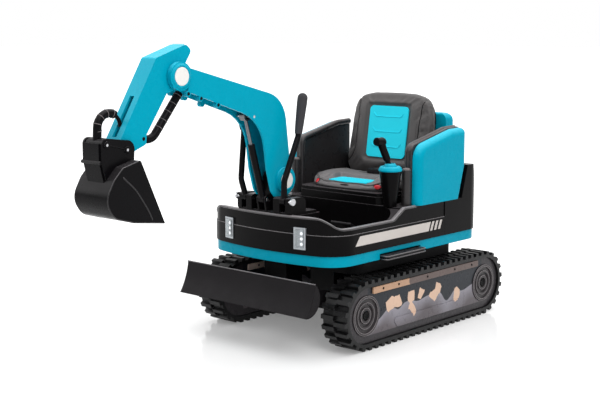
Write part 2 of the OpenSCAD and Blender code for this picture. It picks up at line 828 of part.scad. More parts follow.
// Side view of a pod standing on the rim: moved outwards by d, with its top raised by rise
function pod_path(d, rise, front, r) =
    let (p = [
        [front, 0, 0], [front + 2, pod_h - 43 + rise, r], [165, pod_h - 3 + rise, 80],
        [pod_back, pod_h + rise, 16], [pod_back, hood_z - rim_z, 20], [pod_rear, 0, 0]
    ])
    [for (i = [0:5]) let (q = flat(p[i]) + [0, rim_z])
        i == 0 ? [q.x - d, q.y, 0]
        : i == 5 ? [q.x + d, q.y, 0]
        : [each shifted(flat(p[i - 1]), flat(p[i]), flat(p[i + 1]), d) + [0, rim_z], max(p[i][2] + d, 1)]];
function pod_ring(x, d, rise, front, r) = [for (q = rounded(pod_path(d, rise, front, r))) [x, q.x, q.y]];

// Pod from x0 outwards to x1, with its outer edges rounded by r1 and its inner ones by r0. The corner
// at its front is rounded by r.
module pod(x0, x1, r0, r1, rise, front, r) loft(concat(
    [for (a = [90:-15:0]) pod_ring(x1 - r1 + r1 * sin(a), r1 * (cos(a) - 1), rise, front, r)],
    [for (a = [0:15:90]) pod_ring(x0 + r0 - r0 * sin(a), r0 * (cos(a) - 1), rise, front, r)]
));

// Cavity of a pod shell from x0 to x1, d inside its outline and reaching through the rim's plane
module pod_cavity(x0, x1, d) across(x1 - x0, (x0 + x1) / 2) {
    polygon(rounded(pod_path(-d, 0, pod_front, pod_front_r)));
    translate([pod_front + d, rim_z - cut]) square([pod_rear - pod_front - 2 * d, 2 * cut]);
}

module side_liners() placed() color(black) both() difference() {
    union() {
        pod(liner_in, liner_out, liner_r, liner_r / 2, liner_rise, pod_front - 4, liner_front_r);
        translate([each post_at, rim_z]) cylinder(r = side_post_r, h = cup_h);
    }
    pod_cavity(liner_in + wall, liner_out + cut, wall);
}

module engine_covers() placed() color(teal) both() difference() {
    pod(liner_out, house_w / 2, pod_seam_r, pod_r, 0, pod_front, pod_front_r);
    pod_cavity(liner_out - cut, house_w / 2 - pod_r, wall);
    pod_cavity(liner_out - cut, house_w / 2 - wall, pod_r);
}

// Seat

// Plan of the seat box, moved inwards by d and ending at rear
module box_plan(d, rear) polygon([
    [-box_half + 25, box_front + d], [box_half - 25, box_front + d], [box_half - d, box_front + 25],
    [box_half - d, rear], [-box_half + d, rear], [-box_half + d, box_front + 25]
]);

// Hollow seat box with the deck under it and the rear wall of the footwell
module seat_box() placed() color(black) difference() {
    union() {
        plate(rim_z - wall, wall) house_band(shell_in, -footwell_rear, split_y);
        plate(well_z - wall, rim_z - well_z) house_band(shell_in, -footwell_rear, -footwell_rear + wall);
        plate(rim_z - cut, box_h - 10 + cut) box_plan(0, split_y);
        plate(rim_z, box_h - 10) box_plan(0, box_rear);
        plate(rim_z, box_h) box_plan(4, box_rear);
    }
    plate(rim_z - cut, box_h - wall + cut) box_plan(4 + wall, box_rear - wall);
}

module seat_pad() placed() color(seat_grey) difference() {
    translate([0, cushion_y, box_top]) pad(cushion_half, cushion_l / 2, 5, 3.2, 0, cushion_droop, [
        [12, 0], [4, 4], [0, 12], [1, 20], [4, cushion_t - 8], [9, cushion_t - 4], [16, cushion_t - 1.5],
        [26, cushion_t - 0.3], [36, cushion_t], [60, cushion_t]
    ]);
    along(cushion_y - cushion_l, cushion_y + cushion_l) translate([0, cushion_top - dish + dish_r])
        circle(r = dish_r, $fn = 240);
    seat_insert_plate(cushion_t);
}

// Plate with a bowed front that lies let into the front of the cushion
module seat_insert_plate(h) translate([0, cushion_y - cushion_l / 2 + 26, insert_z])
    rotate([insert_tilt, 0, 0]) linear_extrude(height = h) polygon(rounded(concat(
        [for (p = bow([-74, 0], [74, 0], -12)) [p.x, p.y, 0]], [[72, 62, 10], [-72, 62, 10]]
    )));
module seat_insert() placed() color(teal_light) seat_insert_plate(insert_t);

// Backrest frame: x across, then up along the lean, then forwards
module leaning() translate([0, back_at.x, back_at.y]) rotate([90 - back_lean, 0, 0]) children();

module backrest_shell() placed() color(black) difference() {
    leaning() translate([0, 0, -back_shell_t]) linear_extrude(height = back_shell_t)
        polygon(rounded([
            [-shell_low, -back_h / 2 - 60, 0], [shell_low, -back_h / 2 - 60, 0],
            [shell_high, back_h / 2 - 9, 80], [-shell_high, back_h / 2 - 9, 80]
        ]));
    translate([-house_w, 0, box_top - 100]) cube([2 * house_w, house_w, 100]);
}

module backrest_pad() placed() color(seat_grey) leaning()
    pad(back_half, back_h / 2, 4.4, 6, back_taper, 0, [
        [12, 0], [6, 5], [2, back_t - 24], [0, back_t - 14], [2, back_t - 7], [7, back_t - 2.5],
        [14, back_t - 0.6], [24, back_t], [46, back_t]
    ]);

module backrest_insert() placed() color(teal_light) leaning() translate([0, 0, back_t])
    linear_extrude(height = insert_t) polygon(rounded(box_path(-76, -84, 76, 80, 14)));

module belt_strap() placed() color(black) along(strap_y - strap_w / 2, strap_y + strap_w / 2) difference() {
    strap_loop(strap_t, 0);
    strap_loop(0, cut);
}

// Space under the strap, moved outwards by d and carried down by drop
module strap_loop(d, drop) {
    half = cushion_half + 6 + d;
    top = cushion_top + pass + d;
    polygon(rounded([
        [-half, box_top - drop, 0], [half, box_top - drop, 0], [half, top, 12 + d], [-half, top, 12 + d]
    ]));
}

module belt_buckle() placed() color(black) plate(cushion_top + pass + strap_t, 14)
    polygon(rounded(box_path(-16, strap_y - 19, 36, strap_y + 19, 6)));

// Lamps that follow the front of the house

module lamp_shape(margin, deep, thick) intersection() {
    both() translate([lamp_x - lamp_w / 2 + margin, -nose - 20, lamp_z - lamp_h / 2 + margin])
        cube([lamp_w - 2 * margin, 60, lamp_h - 2 * margin]);
    plate(shell_z, shell_h) difference() {
        house_band(-deep - thick, -2 * nose, -nose + 40);
        house_plan(-deep);
    }
}

module lamp_housings() placed() color(silver) {
    lamp_shape(0, 0, lamp_t);
    intersection() {
        lamp_shape(0, -groove_in, groove_in + cut);
        plate(groove_z, shell_h) house_plan(-lamp_t);
    }
}

module lamp_lenses() placed() color(white) lamp_shape(5, lamp_t, lens_t);

// Boom foot bracket: base, upright, two ears for the gas spring and two lever blocks
module boom_bracket() placed() color(black) difference() {
    union() {
        plate(rim_z, bracket_t) intersection() {
            house_plan(8);
            translate([-bracket_half, -nose]) square([2 * bracket_half, nose - post_rear - 10]);
        }
        across(2 * upright_half) {
            spot(foot, upright_r);
            translate([foot.x - upright_r, bracket_top - 1])
                square([2 * upright_r, foot.y - bracket_top + 1]);
        }
        both() across(6, ear_gap + 3) {
            spot(strut_low, 10);
            polygon([
                [strut_low.x - 3, bracket_top - 1], [foot.x - upright_r + 1, bracket_top - 1],
                [foot.x - upright_r + 1, strut_low.y], strut_low + [5, 8], strut_low + [-9.5, -3]
            ]);
        }
        both() intersection() {
            plate(bracket_top - 1, block_h + 1) house_plan(4);
            across(bracket_half - block_in, (bracket_half + block_in) / 2) polygon(rounded([
                [-nose, bracket_top - 1, 0], [-nose + 75, bracket_top - 1, 0],
                [-nose + 75, bracket_top + block_h, 18], [-nose, bracket_top + block_h, 18]
            ]));
        }
    }
    both() translate([lever_x - lever_hub_w / 2 - 1, -nose - 10, bracket_top])
        cube([lever_hub_w + 2, 100, block_h + 10]);
    bar(foot_pin_r + run, 4 * boom_w, foot);
    bar(strut_pin_r + run, 4 * ear_gap, strut_low);
    bar(lever_pin_r + run, 4 * bracket_half, lever_foot);
}

// Boom foot pin, gas spring pin and two lever pins
module house_pins() placed() color(steel) {
    bar(foot_pin_r, 2 * pin_end, foot);
    bar(strut_pin_r, 2 * (ear_gap + 7), strut_low);
    both() {
        bar(lever_pin_r, bracket_half - block_in, lever_foot, (bracket_half + block_in) / 2 + 6);
        bar(lever_pin_r + 4, 6, lever_foot, bracket_half + 3);
    }
}

// Controls

module joystick_cup() placed() color(black) translate([each cup_at, rim_z]) rotate_extrude()
    polygon([
        [0, 0], [cup_foot_r, 0], [cup_r, cup_h], [cup_r - cup_wall, cup_h],
        [cup_foot_r - cup_wall, cup_wall], [0, cup_wall]
    ]);

module joystick_ring() placed() color(teal) difference() {
    translate([each cup_at, ring_z]) rotate_extrude() polygon([
        [gimbal_r + 1, 0], [cup_r + 1, 0], [cup_r + 2, 4], [cup_r - 1, ring_h - 3], [cup_r - 5, ring_h],
        [gimbal_r + 3, ring_h], [gimbal_r + 1, ring_h - 2]
    ]);
    translate([each cup_at, gimbal_z]) rotate([0, 90, 0])
        cylinder(r = 3 + run, h = 2 * (cup_r - 3), center = true);
}

module joystick_gimbal() placed() color(steel) translate([each cup_at, gimbal_z]) difference() {
    union() {
        cylinder(r = gimbal_r, h = gimbal_t, center = true);
        rotate([0, 90, 0]) cylinder(r = 3, h = 2 * (cup_r - 4), center = true);
    }
    cylinder(r = gimbal_hole, h = 2 * gimbal_t, center = true);
    rotate([90, 0, 0]) cylinder(r = 2.5 + run, h = 3 * gimbal_r, center = true);
}

module joystick_handle() placed() color(black) translate([each cup_at, gimbal_z]) {
    sphere(r = 9);
    rotate([90, 0, 0]) cylinder(r = 2.5, h = 2 * (gimbal_r - 2), center = true);
    rotate([stick_lean.x, stick_lean.y, 0]) {
        rotate_extrude() polygon([[0, 0], [7, 0], [7, 20], [11, 34], [11, 86], [0, 86]]);
        translate([0, 4, 84]) sphere(r = 14.5);
        translate([0, 4, 84]) rotate([62, 0, 0]) cylinder(r1 = 13.5, r2 = 12, h = 24);
    }
}

// Lever rod in the plane at x = 0, standing on the pivot
module lever_shape() difference() {
    union() {
        bar(lever_hub_r, lever_hub_w, [0, 0]);
        bent_rod(lever_r, lever_bends, lever_bend_r);
    }
    bar(lever_pin_r + run, 2 * lever_hub_w, [0, 0]);
}

// Grip along the lever's last stretch, widest near its top
module grip_shape() {
    base = lever_bends[2];
    end = lever_bends[3];
    translate([0, base.x, base.y]) rotate([atan2(base.x - end.x, end.y - base.y), 0, 0]) rotate_extrude()
        polygon(concat(
            [[lever_r + run, 8], [grip_r - 4, 8], [grip_r - 2.5, 30], [grip_r, grip_l - 30]],
            [for (i = [0:6]) let (t = 90 * i / 6) [grip_r * cos(t), grip_l - 14 + 14 * sin(t)]],
            [[0, norm(end - base) + pass], [lever_r + run, norm(end - base) + pass]]
        ));
}

module at_lever(side, tilt) translate([side * lever_x, lever_foot.x, lever_foot.y])
    rotate([tilt, 0, 0]) children();

module lever_left() placed() color(black) at_lever(1, 0) lever_shape();
module lever_right() placed() color(black) at_lever(-1, right_lever_tilt) lever_shape();
module grip_left() placed() color(grey) at_lever(1, 0) grip_shape();
module grip_right() placed() color(grey) at_lever(-1, right_lever_tilt) grip_shape();

// Inside the house and beside it

module side_steps() placed() color(black) both() plate(floor_z, step_t) polygon(rounded([
    [house_w / 2 - floor_in, -step_l, 0], [house_w / 2 - floor_in + step_w, -step_l, 14],
    [house_w / 2 - floor_in + step_w, 0, 14], [house_w / 2 - floor_in, 0, 0]
]));

module battery() placed() color(grey) translate([-75, split_y + 6, floor_z + floor_t]) cube([150, 85, 95]);

module control_box() placed() color(black) translate([-150, 50, floor_z + floor_t]) cube([70, 55, 40]);

// Arm

function boom_path() = [
    by(foot, 30, -44, 20), by(foot, 23, 42), by(foot, -2, 233, 90), by(elbow, 37, 20), by(elbow, 29, -41),
    by(foot, -92, 174, 120), by(foot, -72, 34), by(foot, -54, -28, 20), by(foot, -40, -44)
];

module boom_side() {
    polygon(rounded(boom_path()));
    spot(elbow, collar_r);
    spot(foot, collar_r + 3);
}

// Two side plates, a web along the back and top, collars at both pivots and screw bosses below
module boom() placed() color(teal) difference() {
    union() {
        both() across(boom_wall, boom_w / 2 - boom_wall / 2) boom_side();
        boom_web();
        both() for (p = [foot, elbow]) bar(collar_r, collar_t + cut, p, boom_w / 2 + (collar_t - cut) / 2);
        both() for (p = [[30, -46], [75, -60], [137, -80]])
            bar(8, boom_wall + 6, elbow + p, boom_w / 2 - boom_wall / 2 - 3);
    }
    bar(foot_pin_r + run, 2 * boom_w, foot);
    bar(elbow_pin_r + run, 2 * boom_w, elbow);
    bar(strut_top_r + run, 2 * boom_w, strut_high);
}

module boom_web() {
    start = foot + [23, 44];
    bend_at = foot + [-2, 233];
    end = elbow + [37, 20] + 45 * unit(bend_at - elbow - [37, 20]);
    across(2 * boom_in + cut) polygon(strip(end, bend_at, start, boom_wall, 90));
}

// Elbow pin and the cross pin that holds the gas spring
module boom_pins() placed() color(steel) {
    bar(elbow_pin_r, 2 * pin_end, elbow);
    bar(strut_top_r, boom_w - 0.6, strut_high);
}

module pivot_caps() placed() color(white) both() for (p = [foot, elbow])
    bar(cap_r, cap_t, p, boom_w / 2 + collar_t + cap_t / 2);

stick_front = [tip + [-16, 20], elbow + [-70, 48], elbow + [32, 81]];

module stick_side() {
    polygon(rounded([
        by(stick_front[1], 0, 0, 12), by(stick_front[2], 0, 0, 12), by(elbow, 51, 65, 10),
        by(elbow, 27, 30), by(elbow, 0, -34), by(elbow, -36, -42), by(rod_pin, 10, 11, 8),
        by(rod_pin, 8, -14, 8), by(tip, 22, -10), by(tip, -23, 7), by(stick_front[0], 0, 0)
    ]));
    spot(elbow, collar_r - 3);
    spot(tip, 24);
}

// Two side plates with a slotted web in front and a web on top, open behind
module stick() placed() color(teal) difference() {
    union() {
        both() across(stick_wall, stick_w / 2 - stick_wall / 2) stick_side();
        across(2 * stick_in + cut) polygon(strip(stick_front[0], stick_front[1], stick_front[2], web_t, 12));
    }
    slot = unit(stick_front[1] - stick_front[0]);
    across(slot_w) polygon(strip(
        stick_front[0] + 12 * slot + 2 * web_t * left_of([0, 0], slot),
        stick_front[0] + 70 * slot + 2 * web_t * left_of([0, 0], slot),
        stick_front[0] + 128 * slot + 2 * web_t * left_of([0, 0], slot), 4 * web_t, 0
    ));
    bar(elbow_pin_r + run, 2 * stick_w, elbow);
    bar(bucket_pin_r + run, 2 * stick_w, tip);
    bar(rod_pin_r + run, 2 * stick_w, rod_pin);
}

// Round push link between the boom and the stick, on its own trunnions
module stick_link() placed() color(black) {
    bar(rod_pin_r, stick_w - 0.6, rod_pin);
    bar(link_r + 2, 2 * stick_in - 4, rod_pin);
    bent_rod(link_r, [rod_pin, rod_pin + [50, -8], rod_pin + [146, 108]], 35);
}

// Bucket

bucket_path = [
    by(tip, 19, -25, 6), by(tip, -38, -40, 10), by(tip, -66, -68, 30), by(tip, -96, -120, 45),
    by(tip, -66, -163, 40), by(tip, -6, -180, 60), by(tip, 96, -193)
];
bucket_outer = rounded(bucket_path);
slew_y = -(min([for (p = bucket_outer) p.x]) + wheelbase / 2 + wheel_z) / 2;

// Inside of the bucket, carried on through its mouth
bucket_inner =
    let (n = len(bucket_path), p = [for (q = bucket_path) flat(q)])
    rounded([for (i = [0:n - 1])
        i == 0 ? [each p[0] + bucket_wall * left_of(p[0], p[1]) - 60 * unit(p[1] - p[0]), 0]
        : i == n - 1 ? [each p[i] + bucket_wall * left_of(p[i - 1], p[i]) + 60 * unit(p[i] - p[i - 1]), 0]
        : [each shifted(p[i - 1], p[i], p[i + 1], bucket_wall), max(bucket_path[i][2] - bucket_wall, 1)]]);

module bucket_shell() placed() color(black) difference() {
    across(bucket_w) polygon(bucket_outer);
    across(bucket_w - 2 * bucket_wall) polygon(bucket_inner);
}

// Two ears with cross ribs that carry both bucket pins
module bucket_bracket() placed() color(black) difference() {
    union() {
        both() across(ear_t, ear_in + ear_t / 2) {
            spot(tip, 24);
            spot(link_pin, 16);
            polygon([
                link_pin + [-16, 0], link_pin + [2, 16], tip + [-2, 24], tip + [24, 0], tip + [21, -40],
                tip + [-66, -80], link_pin + [-16, -40]
            ]);
        }
        across(2 * ear_in + cut) {
            polygon([tip + [-74, -20], tip + [-74, -26], tip + [-30, -38], tip + [-30, -32]]);
            polygon([
                link_pin + [-20, 4], link_pin + [-15, 4], link_pin + [-15, -40], tip + [-50, -80],
                tip + [-70, -80], link_pin + [-20, -40]
            ]);
        }
    }
    across(2 * bucket_w) polygon(bucket_outer);
    bar(bucket_pin_r + run, 4 * ear_out, tip);
    bar(bucket_pin_r + run, 4 * ear_out, link_pin);
}

module bucket_pins() placed() color(steel) for (p = [tip, link_pin]) {
    bar(bucket_pin_r, 2 * ear_out, p);
    both() bar(bucket_pin_r + 3, 3, p, ear_out + 1.5);
}

// Arched link from the bucket into the slot of the stick
module bucket_link() placed() color(black) {
    centre = link_pin + [38, 38];
    radius = 36;
    difference() {
        union() {
            bar(14, 2 * ear_in - 2, link_pin);
            rod(link_r, link_pin, centre + [-radius, 0]);
        }
        bar(bucket_pin_r + run, 4 * ear_in, link_pin);
    }
    bend(link_r - 0.2, centre, radius, 60, 124);
    bend(tongue_r, centre, radius, 0, 64);
}

module strut_at() translate([0, strut_low.x, strut_low.y]) rotate([-strut_a, 0, 0]) children();

// Gas spring between the foot bracket and the boom
module strut_barrel() placed() color(black) strut_at() difference() {
    union() {
        bar(strut_r + 1, 2 * strut_half, [0, 0]);
        cylinder(r = strut_r, h = barrel_l);
    }
    translate([0, 0, barrel_floor]) cylinder(r = strut_rod_r + run, h = barrel_l);
    bar(strut_pin_r + run, 4 * strut_half, [0, 0]);
}

module strut_rod() placed() color(silver) strut_at() difference() {
    union() {
        translate([0, 0, rod_start]) cylinder(r = strut_rod_r, h = strut_l - rod_start);
        bar(strut_top_r + strut_slack + 4.5, 2 * strut_half, [0, strut_l]);
    }
    bar(strut_top_r + strut_slack, 4 * strut_half, [0, strut_l]);
}

module foot_pedal() placed() color(grey) translate([pedal_x, pedal_at.x, pedal_at.y]) {
    bar(pedal_pin_r, pedal_w + 2 + 2 * lug_t, [0, 0]);
    rotate([-pedal_rise, 0, 0]) across(pedal_w) polygon(rounded([
        [6, -pedal_t / 2, 3], [6, pedal_t / 2, 3], [-pedal_l, pedal_t / 2, 3], [-pedal_l, -pedal_t / 2, 3]
    ]));
}

chassis_frame();
chassis_deck();
king_bolt();
track_panels();
track_covers();
track_belt_left();
track_belt_right();
side_rails();
axle_rods();
drive_motors();
idler_wheel_left();
idler_wheel_right();
drive_wheel_left();
drive_wheel_right();
dozer_blade();
blade_arms();
house_floor();
slew_ring();
house_skirt();
house_tub();
footwell_pan();
counterweight();
rear_hood();
side_liners();
engine_covers();
seat_box();
seat_pad();
seat_insert();
backrest_shell();
backrest_pad();
backrest_insert();
belt_strap();
belt_buckle();
lamp_housings();
lamp_lenses();
boom_bracket();
house_pins();
joystick_cup();
joystick_ring();
side_steps();
battery();
control_box();
boom();
boom_pins();
pivot_caps();
stick();
stick_link();
bucket_shell();
bucket_bracket();
bucket_pins();
bucket_link();
lever_left();
lever_right();
grip_left();
grip_right();
strut_barrel();
strut_rod();
joystick_gimbal();
joystick_handle();
foot_pedal();
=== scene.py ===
import json
import math

import bmesh
import bpy
from mathutils import Matrix, Vector
from mathutils.bvhtree import BVHTree


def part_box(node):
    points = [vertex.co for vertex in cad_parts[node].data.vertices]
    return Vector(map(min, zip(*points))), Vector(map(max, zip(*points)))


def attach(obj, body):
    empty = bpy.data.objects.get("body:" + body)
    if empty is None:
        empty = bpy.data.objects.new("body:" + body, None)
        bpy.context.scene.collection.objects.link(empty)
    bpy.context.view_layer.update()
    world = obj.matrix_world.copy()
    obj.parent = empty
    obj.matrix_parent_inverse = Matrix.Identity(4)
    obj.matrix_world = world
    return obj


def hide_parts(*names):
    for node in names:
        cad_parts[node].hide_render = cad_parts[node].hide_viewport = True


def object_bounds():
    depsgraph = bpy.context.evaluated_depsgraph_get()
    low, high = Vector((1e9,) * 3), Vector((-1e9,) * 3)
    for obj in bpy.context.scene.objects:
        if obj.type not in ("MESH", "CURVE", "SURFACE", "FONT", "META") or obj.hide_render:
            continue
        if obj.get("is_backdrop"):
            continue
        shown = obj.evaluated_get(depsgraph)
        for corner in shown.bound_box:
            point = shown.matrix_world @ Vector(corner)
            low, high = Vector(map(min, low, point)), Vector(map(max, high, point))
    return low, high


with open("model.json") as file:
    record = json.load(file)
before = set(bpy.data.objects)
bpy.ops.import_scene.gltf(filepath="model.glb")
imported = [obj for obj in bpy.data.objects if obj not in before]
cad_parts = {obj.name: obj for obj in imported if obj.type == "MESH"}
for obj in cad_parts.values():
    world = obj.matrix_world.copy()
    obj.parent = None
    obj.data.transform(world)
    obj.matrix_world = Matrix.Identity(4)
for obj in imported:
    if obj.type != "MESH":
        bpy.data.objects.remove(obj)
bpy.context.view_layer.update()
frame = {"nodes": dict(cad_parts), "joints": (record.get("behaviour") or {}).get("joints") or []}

nodes = frame["nodes"]


def pivot(name):
    """Where a joint turns, in the row frame."""
    return Vector(next(j for j in frame["joints"] if j["name"] == name)["pos_m"])


# Sizes in millimetres about the slew axis, as in the part's source: x to the driver's left, y back, z up
SLEW_Y = pivot("slew").y * 1000

# House: front wall, its corners, half the width, the heights of its floor, groove and rim, and its fittings
NOSE, CORNER_R, CORNER_Y, HOUSE_HALF = 420, 90, 310, 255
FLOOR_Z, GROOVE_Z, RIM_Z = 240, 328, 375
RIM_END, RIM_DIP, SPLIT_Y = -404, 30, 118
LINER_X, LINER_ROLL = 210, 9.5
LAMP_X, LAMP_Z, DIODE_GAP, DIODE_OUT, DIODE_ASIDE = 138, 317, 15, 4.6, 7
STRIPE_LOW, STRIPE_HIGH = 294, 321
STEP_X, STEP_TOP = (252, 270), FLOOR_Z + 12
POST = (219, -29, 480)
PEDAL_TILT = -27.5

# Seat: the box under it, the cushions and the plates set in them
BOX_TOP = 408
CUSHION = {"half": 166, "length": 208, "thick": 33, "y": 42}
SEAT_INSERT = {"y": -36, "z": 425, "tilt": 2, "thick": 5}
BACK = {"thick": 36, "lean": 8.5, "y": 200, "z": 564}

# Arm: pins as (y, z), half the boom's width, and half the width of the bucket and its bracket
FOOT, ELBOW = (-360, 468), (-756, 773)
TIP = (ELBOW[0] - 178, ELBOW[1] - 175)
LINK_PIN = (TIP[0] - 64, TIP[1] + 16)
ROD_PIN = (ELBOW[0] - 116, ELBOW[1] - 153)
BOOM_HALF, BUCKET_HALF, EAR_HALF, LINK_R = 37, 65, 37, 11

# Tracks: outer and inner faces of the side rails, and the height of the rivets in them
RAIL_OUT, RAIL_IN, RIVET_Z = 288, 200, 168


def at(x, y, z):
    """A point of the machine, given in millimetres about the slew axis, in the row frame."""
    return Vector((x, y + SLEW_Y, z)) / 1000


def linear(rgb):
    """A colour written as 0-255 screen values, as the linear values that a shader takes."""
    return tuple(
        c / 255 / 12.92 if c / 255 <= 0.04045 else ((c / 255 + 0.055) / 1.055) ** 2.4
        for c in rgb
    ) + (1,)


# Materials


class Nodes:
    """A material's node tree with short calls for the nodes that are used here."""

    def __init__(self, name):
        self.material = bpy.data.materials.new(name)
        self.material.use_nodes = True
        self.tree = self.material.node_tree
        self.bsdf = self.tree.nodes["Principled BSDF"]
        self.place = self.tree.nodes.new("ShaderNodeTexCoord").outputs["Object"]

    def link(self, a, b):
        self.tree.links.new(a, b)

    def axes(self, vector=None):
        """The X, Y and Z of a vector, by default of the object coordinates."""
        n = self.tree.nodes.new("ShaderNodeSeparateXYZ")
        self.link(vector or self.place, n.inputs[0])
        return n.outputs

    def set(self, **values):
        for key, value in values.items():
            self.bsdf.inputs[key.replace("_", " ")].default_value = value

    def noise(self, scale, detail=2, distortion=0.0, place=None):
        n = self.tree.nodes.new("ShaderNodeTexNoise")
        n.inputs["Scale"].default_value = scale
        n.inputs["Detail"].default_value = detail
        n.inputs["Distortion"].default_value = distortion
        self.link(place or self.place, n.inputs["Vector"])
        return n.outputs["Fac"]

    def voronoi(self, scale, output="Distance", place=None):
        n = self.tree.nodes.new("ShaderNodeTexVoronoi")
        n.inputs["Scale"].default_value = scale
        self.link(place or self.place, n.inputs["Vector"])
        return n.outputs[output]

    def range(self, value, low, high, to_low, to_high):
        n = self.tree.nodes.new("ShaderNodeMapRange")
        for socket, v in zip(("From Min", "From Max", "To Min", "To Max"), (low, high, to_low, to_high)):
            n.inputs[socket].default_value = v
        self.link(value, n.inputs["Value"])
        return n.outputs["Result"]

    def math(self, operation, a, b):
        n = self.tree.nodes.new("ShaderNodeMath")
        n.operation = operation
        for socket, v in zip(n.inputs, (a, b)):
            if isinstance(v, (int, float)):
                socket.default_value = v
            else:
                self.link(v, socket)
        return n.outputs[0]

    def mix(self, factor, a, b):
        n = self.tree.nodes.new("ShaderNodeMix")
        n.data_type = "RGBA"
        self.link(factor, n.inputs["Factor"])
        for socket, v in ((n.inputs[6], a), (n.inputs[7], b)):
            if isinstance(v, tuple):
                socket.default_value = v
            else:
                self.link(v, socket)
        return n.outputs[2]

    def bump(self, height, strength, distance):
        n = self.tree.nodes.new("ShaderNodeBump")
        n.inputs["Strength"].default_value = strength
        n.inputs["Distance"].default_value = distance
        self.link(height, n.inputs["Height"])
        self.link(n.outputs["Normal"], self.bsdf.inputs["Normal"])

    def moved(self, amount, scale):
        """Object coordinates pushed about by noise."""
        n = self.tree.nodes.new("ShaderNodeTexNoise")
        n.inputs["Scale"].default_value = scale
        self.link(self.place, n.inputs["Vector"])
        v = self.tree.nodes.new("ShaderNodeVectorMath")
        v.operation = "MULTIPLY_ADD"
        v.inputs[1].default_value = (amount,) * 3
        self.link(n.outputs["Color"], v.inputs[0])
        self.link(self.place, v.inputs[2])
        return v.outputs[0]

    def upwards(self, flow):
        """How far a face of the piece looks up, from 0 to 1, a little uneven: the mask of the painted
        highlight on upper faces.
        """
        normal = self.axes(self.tree.nodes.new("ShaderNodeTexCoord").outputs["Normal"])
        level = self.math("ADD", normal["Z"], self.range(flow, 0.3, 0.7, -0.06, 0.06))
        return self.range(level, 0.3, 0.95, 0, 1)

    def inside(self, place):
        """1 on the faces that look into the gap between the tracks, 0 on those that look out."""
        return self.range(self.math("ABSOLUTE", place["X"], 0), 0.25, 0.252, 1, 0)

    def from_middle(self, place):
        """Distance along the machine, in metres, from the slew axis."""
        return self.math("ABSOLUTE", self.math("SUBTRACT", place["Y"], SLEW_Y / 1000), 0)


def shade(color, factor):
    """The colour made darker or lighter."""
    return tuple(min(1, c * factor) for c in color[:3]) + (1,)


def moulded(name, rgb, rough, spread=0.06, grain=900, bump=0.15, coat=0.0, tint=0.1, gloss=0.07, top=None):
    """Moulded plastic or rubber: colour flow, uneven gloss, a fine skin and, with top, upper faces painted
    paler as a highlight of the light from above.
    """
    n = Nodes(name)
    color = linear(rgb)
    flow = n.noise(9, 3, 0.4)
    tone = n.mix(n.range(flow, 0.3, 0.7, 0, 1), shade(color, 1 - tint), shade(color, 1 + tint))
    # Upper faces turn towards the top colour: a painted highlight
    if top:
        tone = n.mix(n.upwards(flow), tone, linear(top))
    n.link(tone, n.bsdf.inputs["Base Color"])
    n.link(n.range(n.noise(38, 4), 0.3, 0.7, rough - spread, rough + spread), n.bsdf.inputs["Roughness"])
    n.bump(n.noise(grain, 2), bump, 0.0004)
    n.set(Coat_Weight=coat, Coat_Roughness=0.12, IOR=1.48, Specular_IOR_Level=gloss)
    return n.material


def metal(name, rgb, rough, stretch=(1, 40, 40)):
    """Plated or bare steel with fine drawing lines."""
    n = Nodes(name)
    m = n.tree.nodes.new("ShaderNodeMapping")
    m.inputs["Scale"].default_value = stretch
    n.link(n.place, m.inputs["Vector"])
    lines = n.noise(60, 3, place=m.outputs["Vector"])
    color = linear(rgb)
    n.link(n.mix(lines, shade(color, 0.85), shade(color, 1.1)), n.bsdf.inputs["Base Color"])
    n.link(n.range(lines, 0.3, 0.7, rough - 0.07, rough + 0.1), n.bsdf.inputs["Roughness"])
    n.bump(lines, 0.1, 0.0002)
    n.set(Metallic=1.0)
    return n.material


def leather(name, rgb):
    """Leather-like seat skin: pebble grain with a low sheen."""
    n = Nodes(name)
    color = linear(rgb)
    pebble = n.voronoi(620)
    flow = n.noise(14, 3)
    tone = n.math("ADD", n.math("MULTIPLY", flow, 0.7), n.math("MULTIPLY", pebble, 0.4))
    n.link(n.mix(n.range(tone, 0.3, 0.8, 0, 1), shade(color, 0.8), shade(color, 1.25)),
           n.bsdf.inputs["Base Color"])
    n.link(n.range(pebble, 0, 0.7, 0.62, 0.44), n.bsdf.inputs["Roughness"])
    n.bump(pebble, 0.35, 0.0006)
    n.set(Sheen_Weight=0.12, Sheen_Roughness=0.5)
    return n.material


def webbing(name, rgb):
    """Woven strap: ribs across and along."""
    n = Nodes(name)
    color = linear(rgb)
    place = n.axes()
    across = n.math("SINE", n.math("MULTIPLY", place["X"], 2 * math.pi / 0.0022), 0)
    along = n.math("SINE", n.math("MULTIPLY", place["Y"], 2 * math.pi / 0.0016), 0)
    weave = n.range(n.math("MULTIPLY", across, along), -1, 1, 0, 1)
    n.link(n.mix(weave, shade(color, 0.6), shade(color, 1.6)), n.bsdf.inputs["Base Color"])
    n.link(n.range(weave, 0, 1, 0.85, 0.6), n.bsdf.inputs["Roughness"])
    n.bump(weave, 0.6, 0.0006)
    n.set(Sheen_Weight=0.2)
    return n.material


# Tan of the print on the faces inside the tracks, paler than outside: painted light on those faces
LIT_INSIDE_TAN = linear((250, 226, 212))


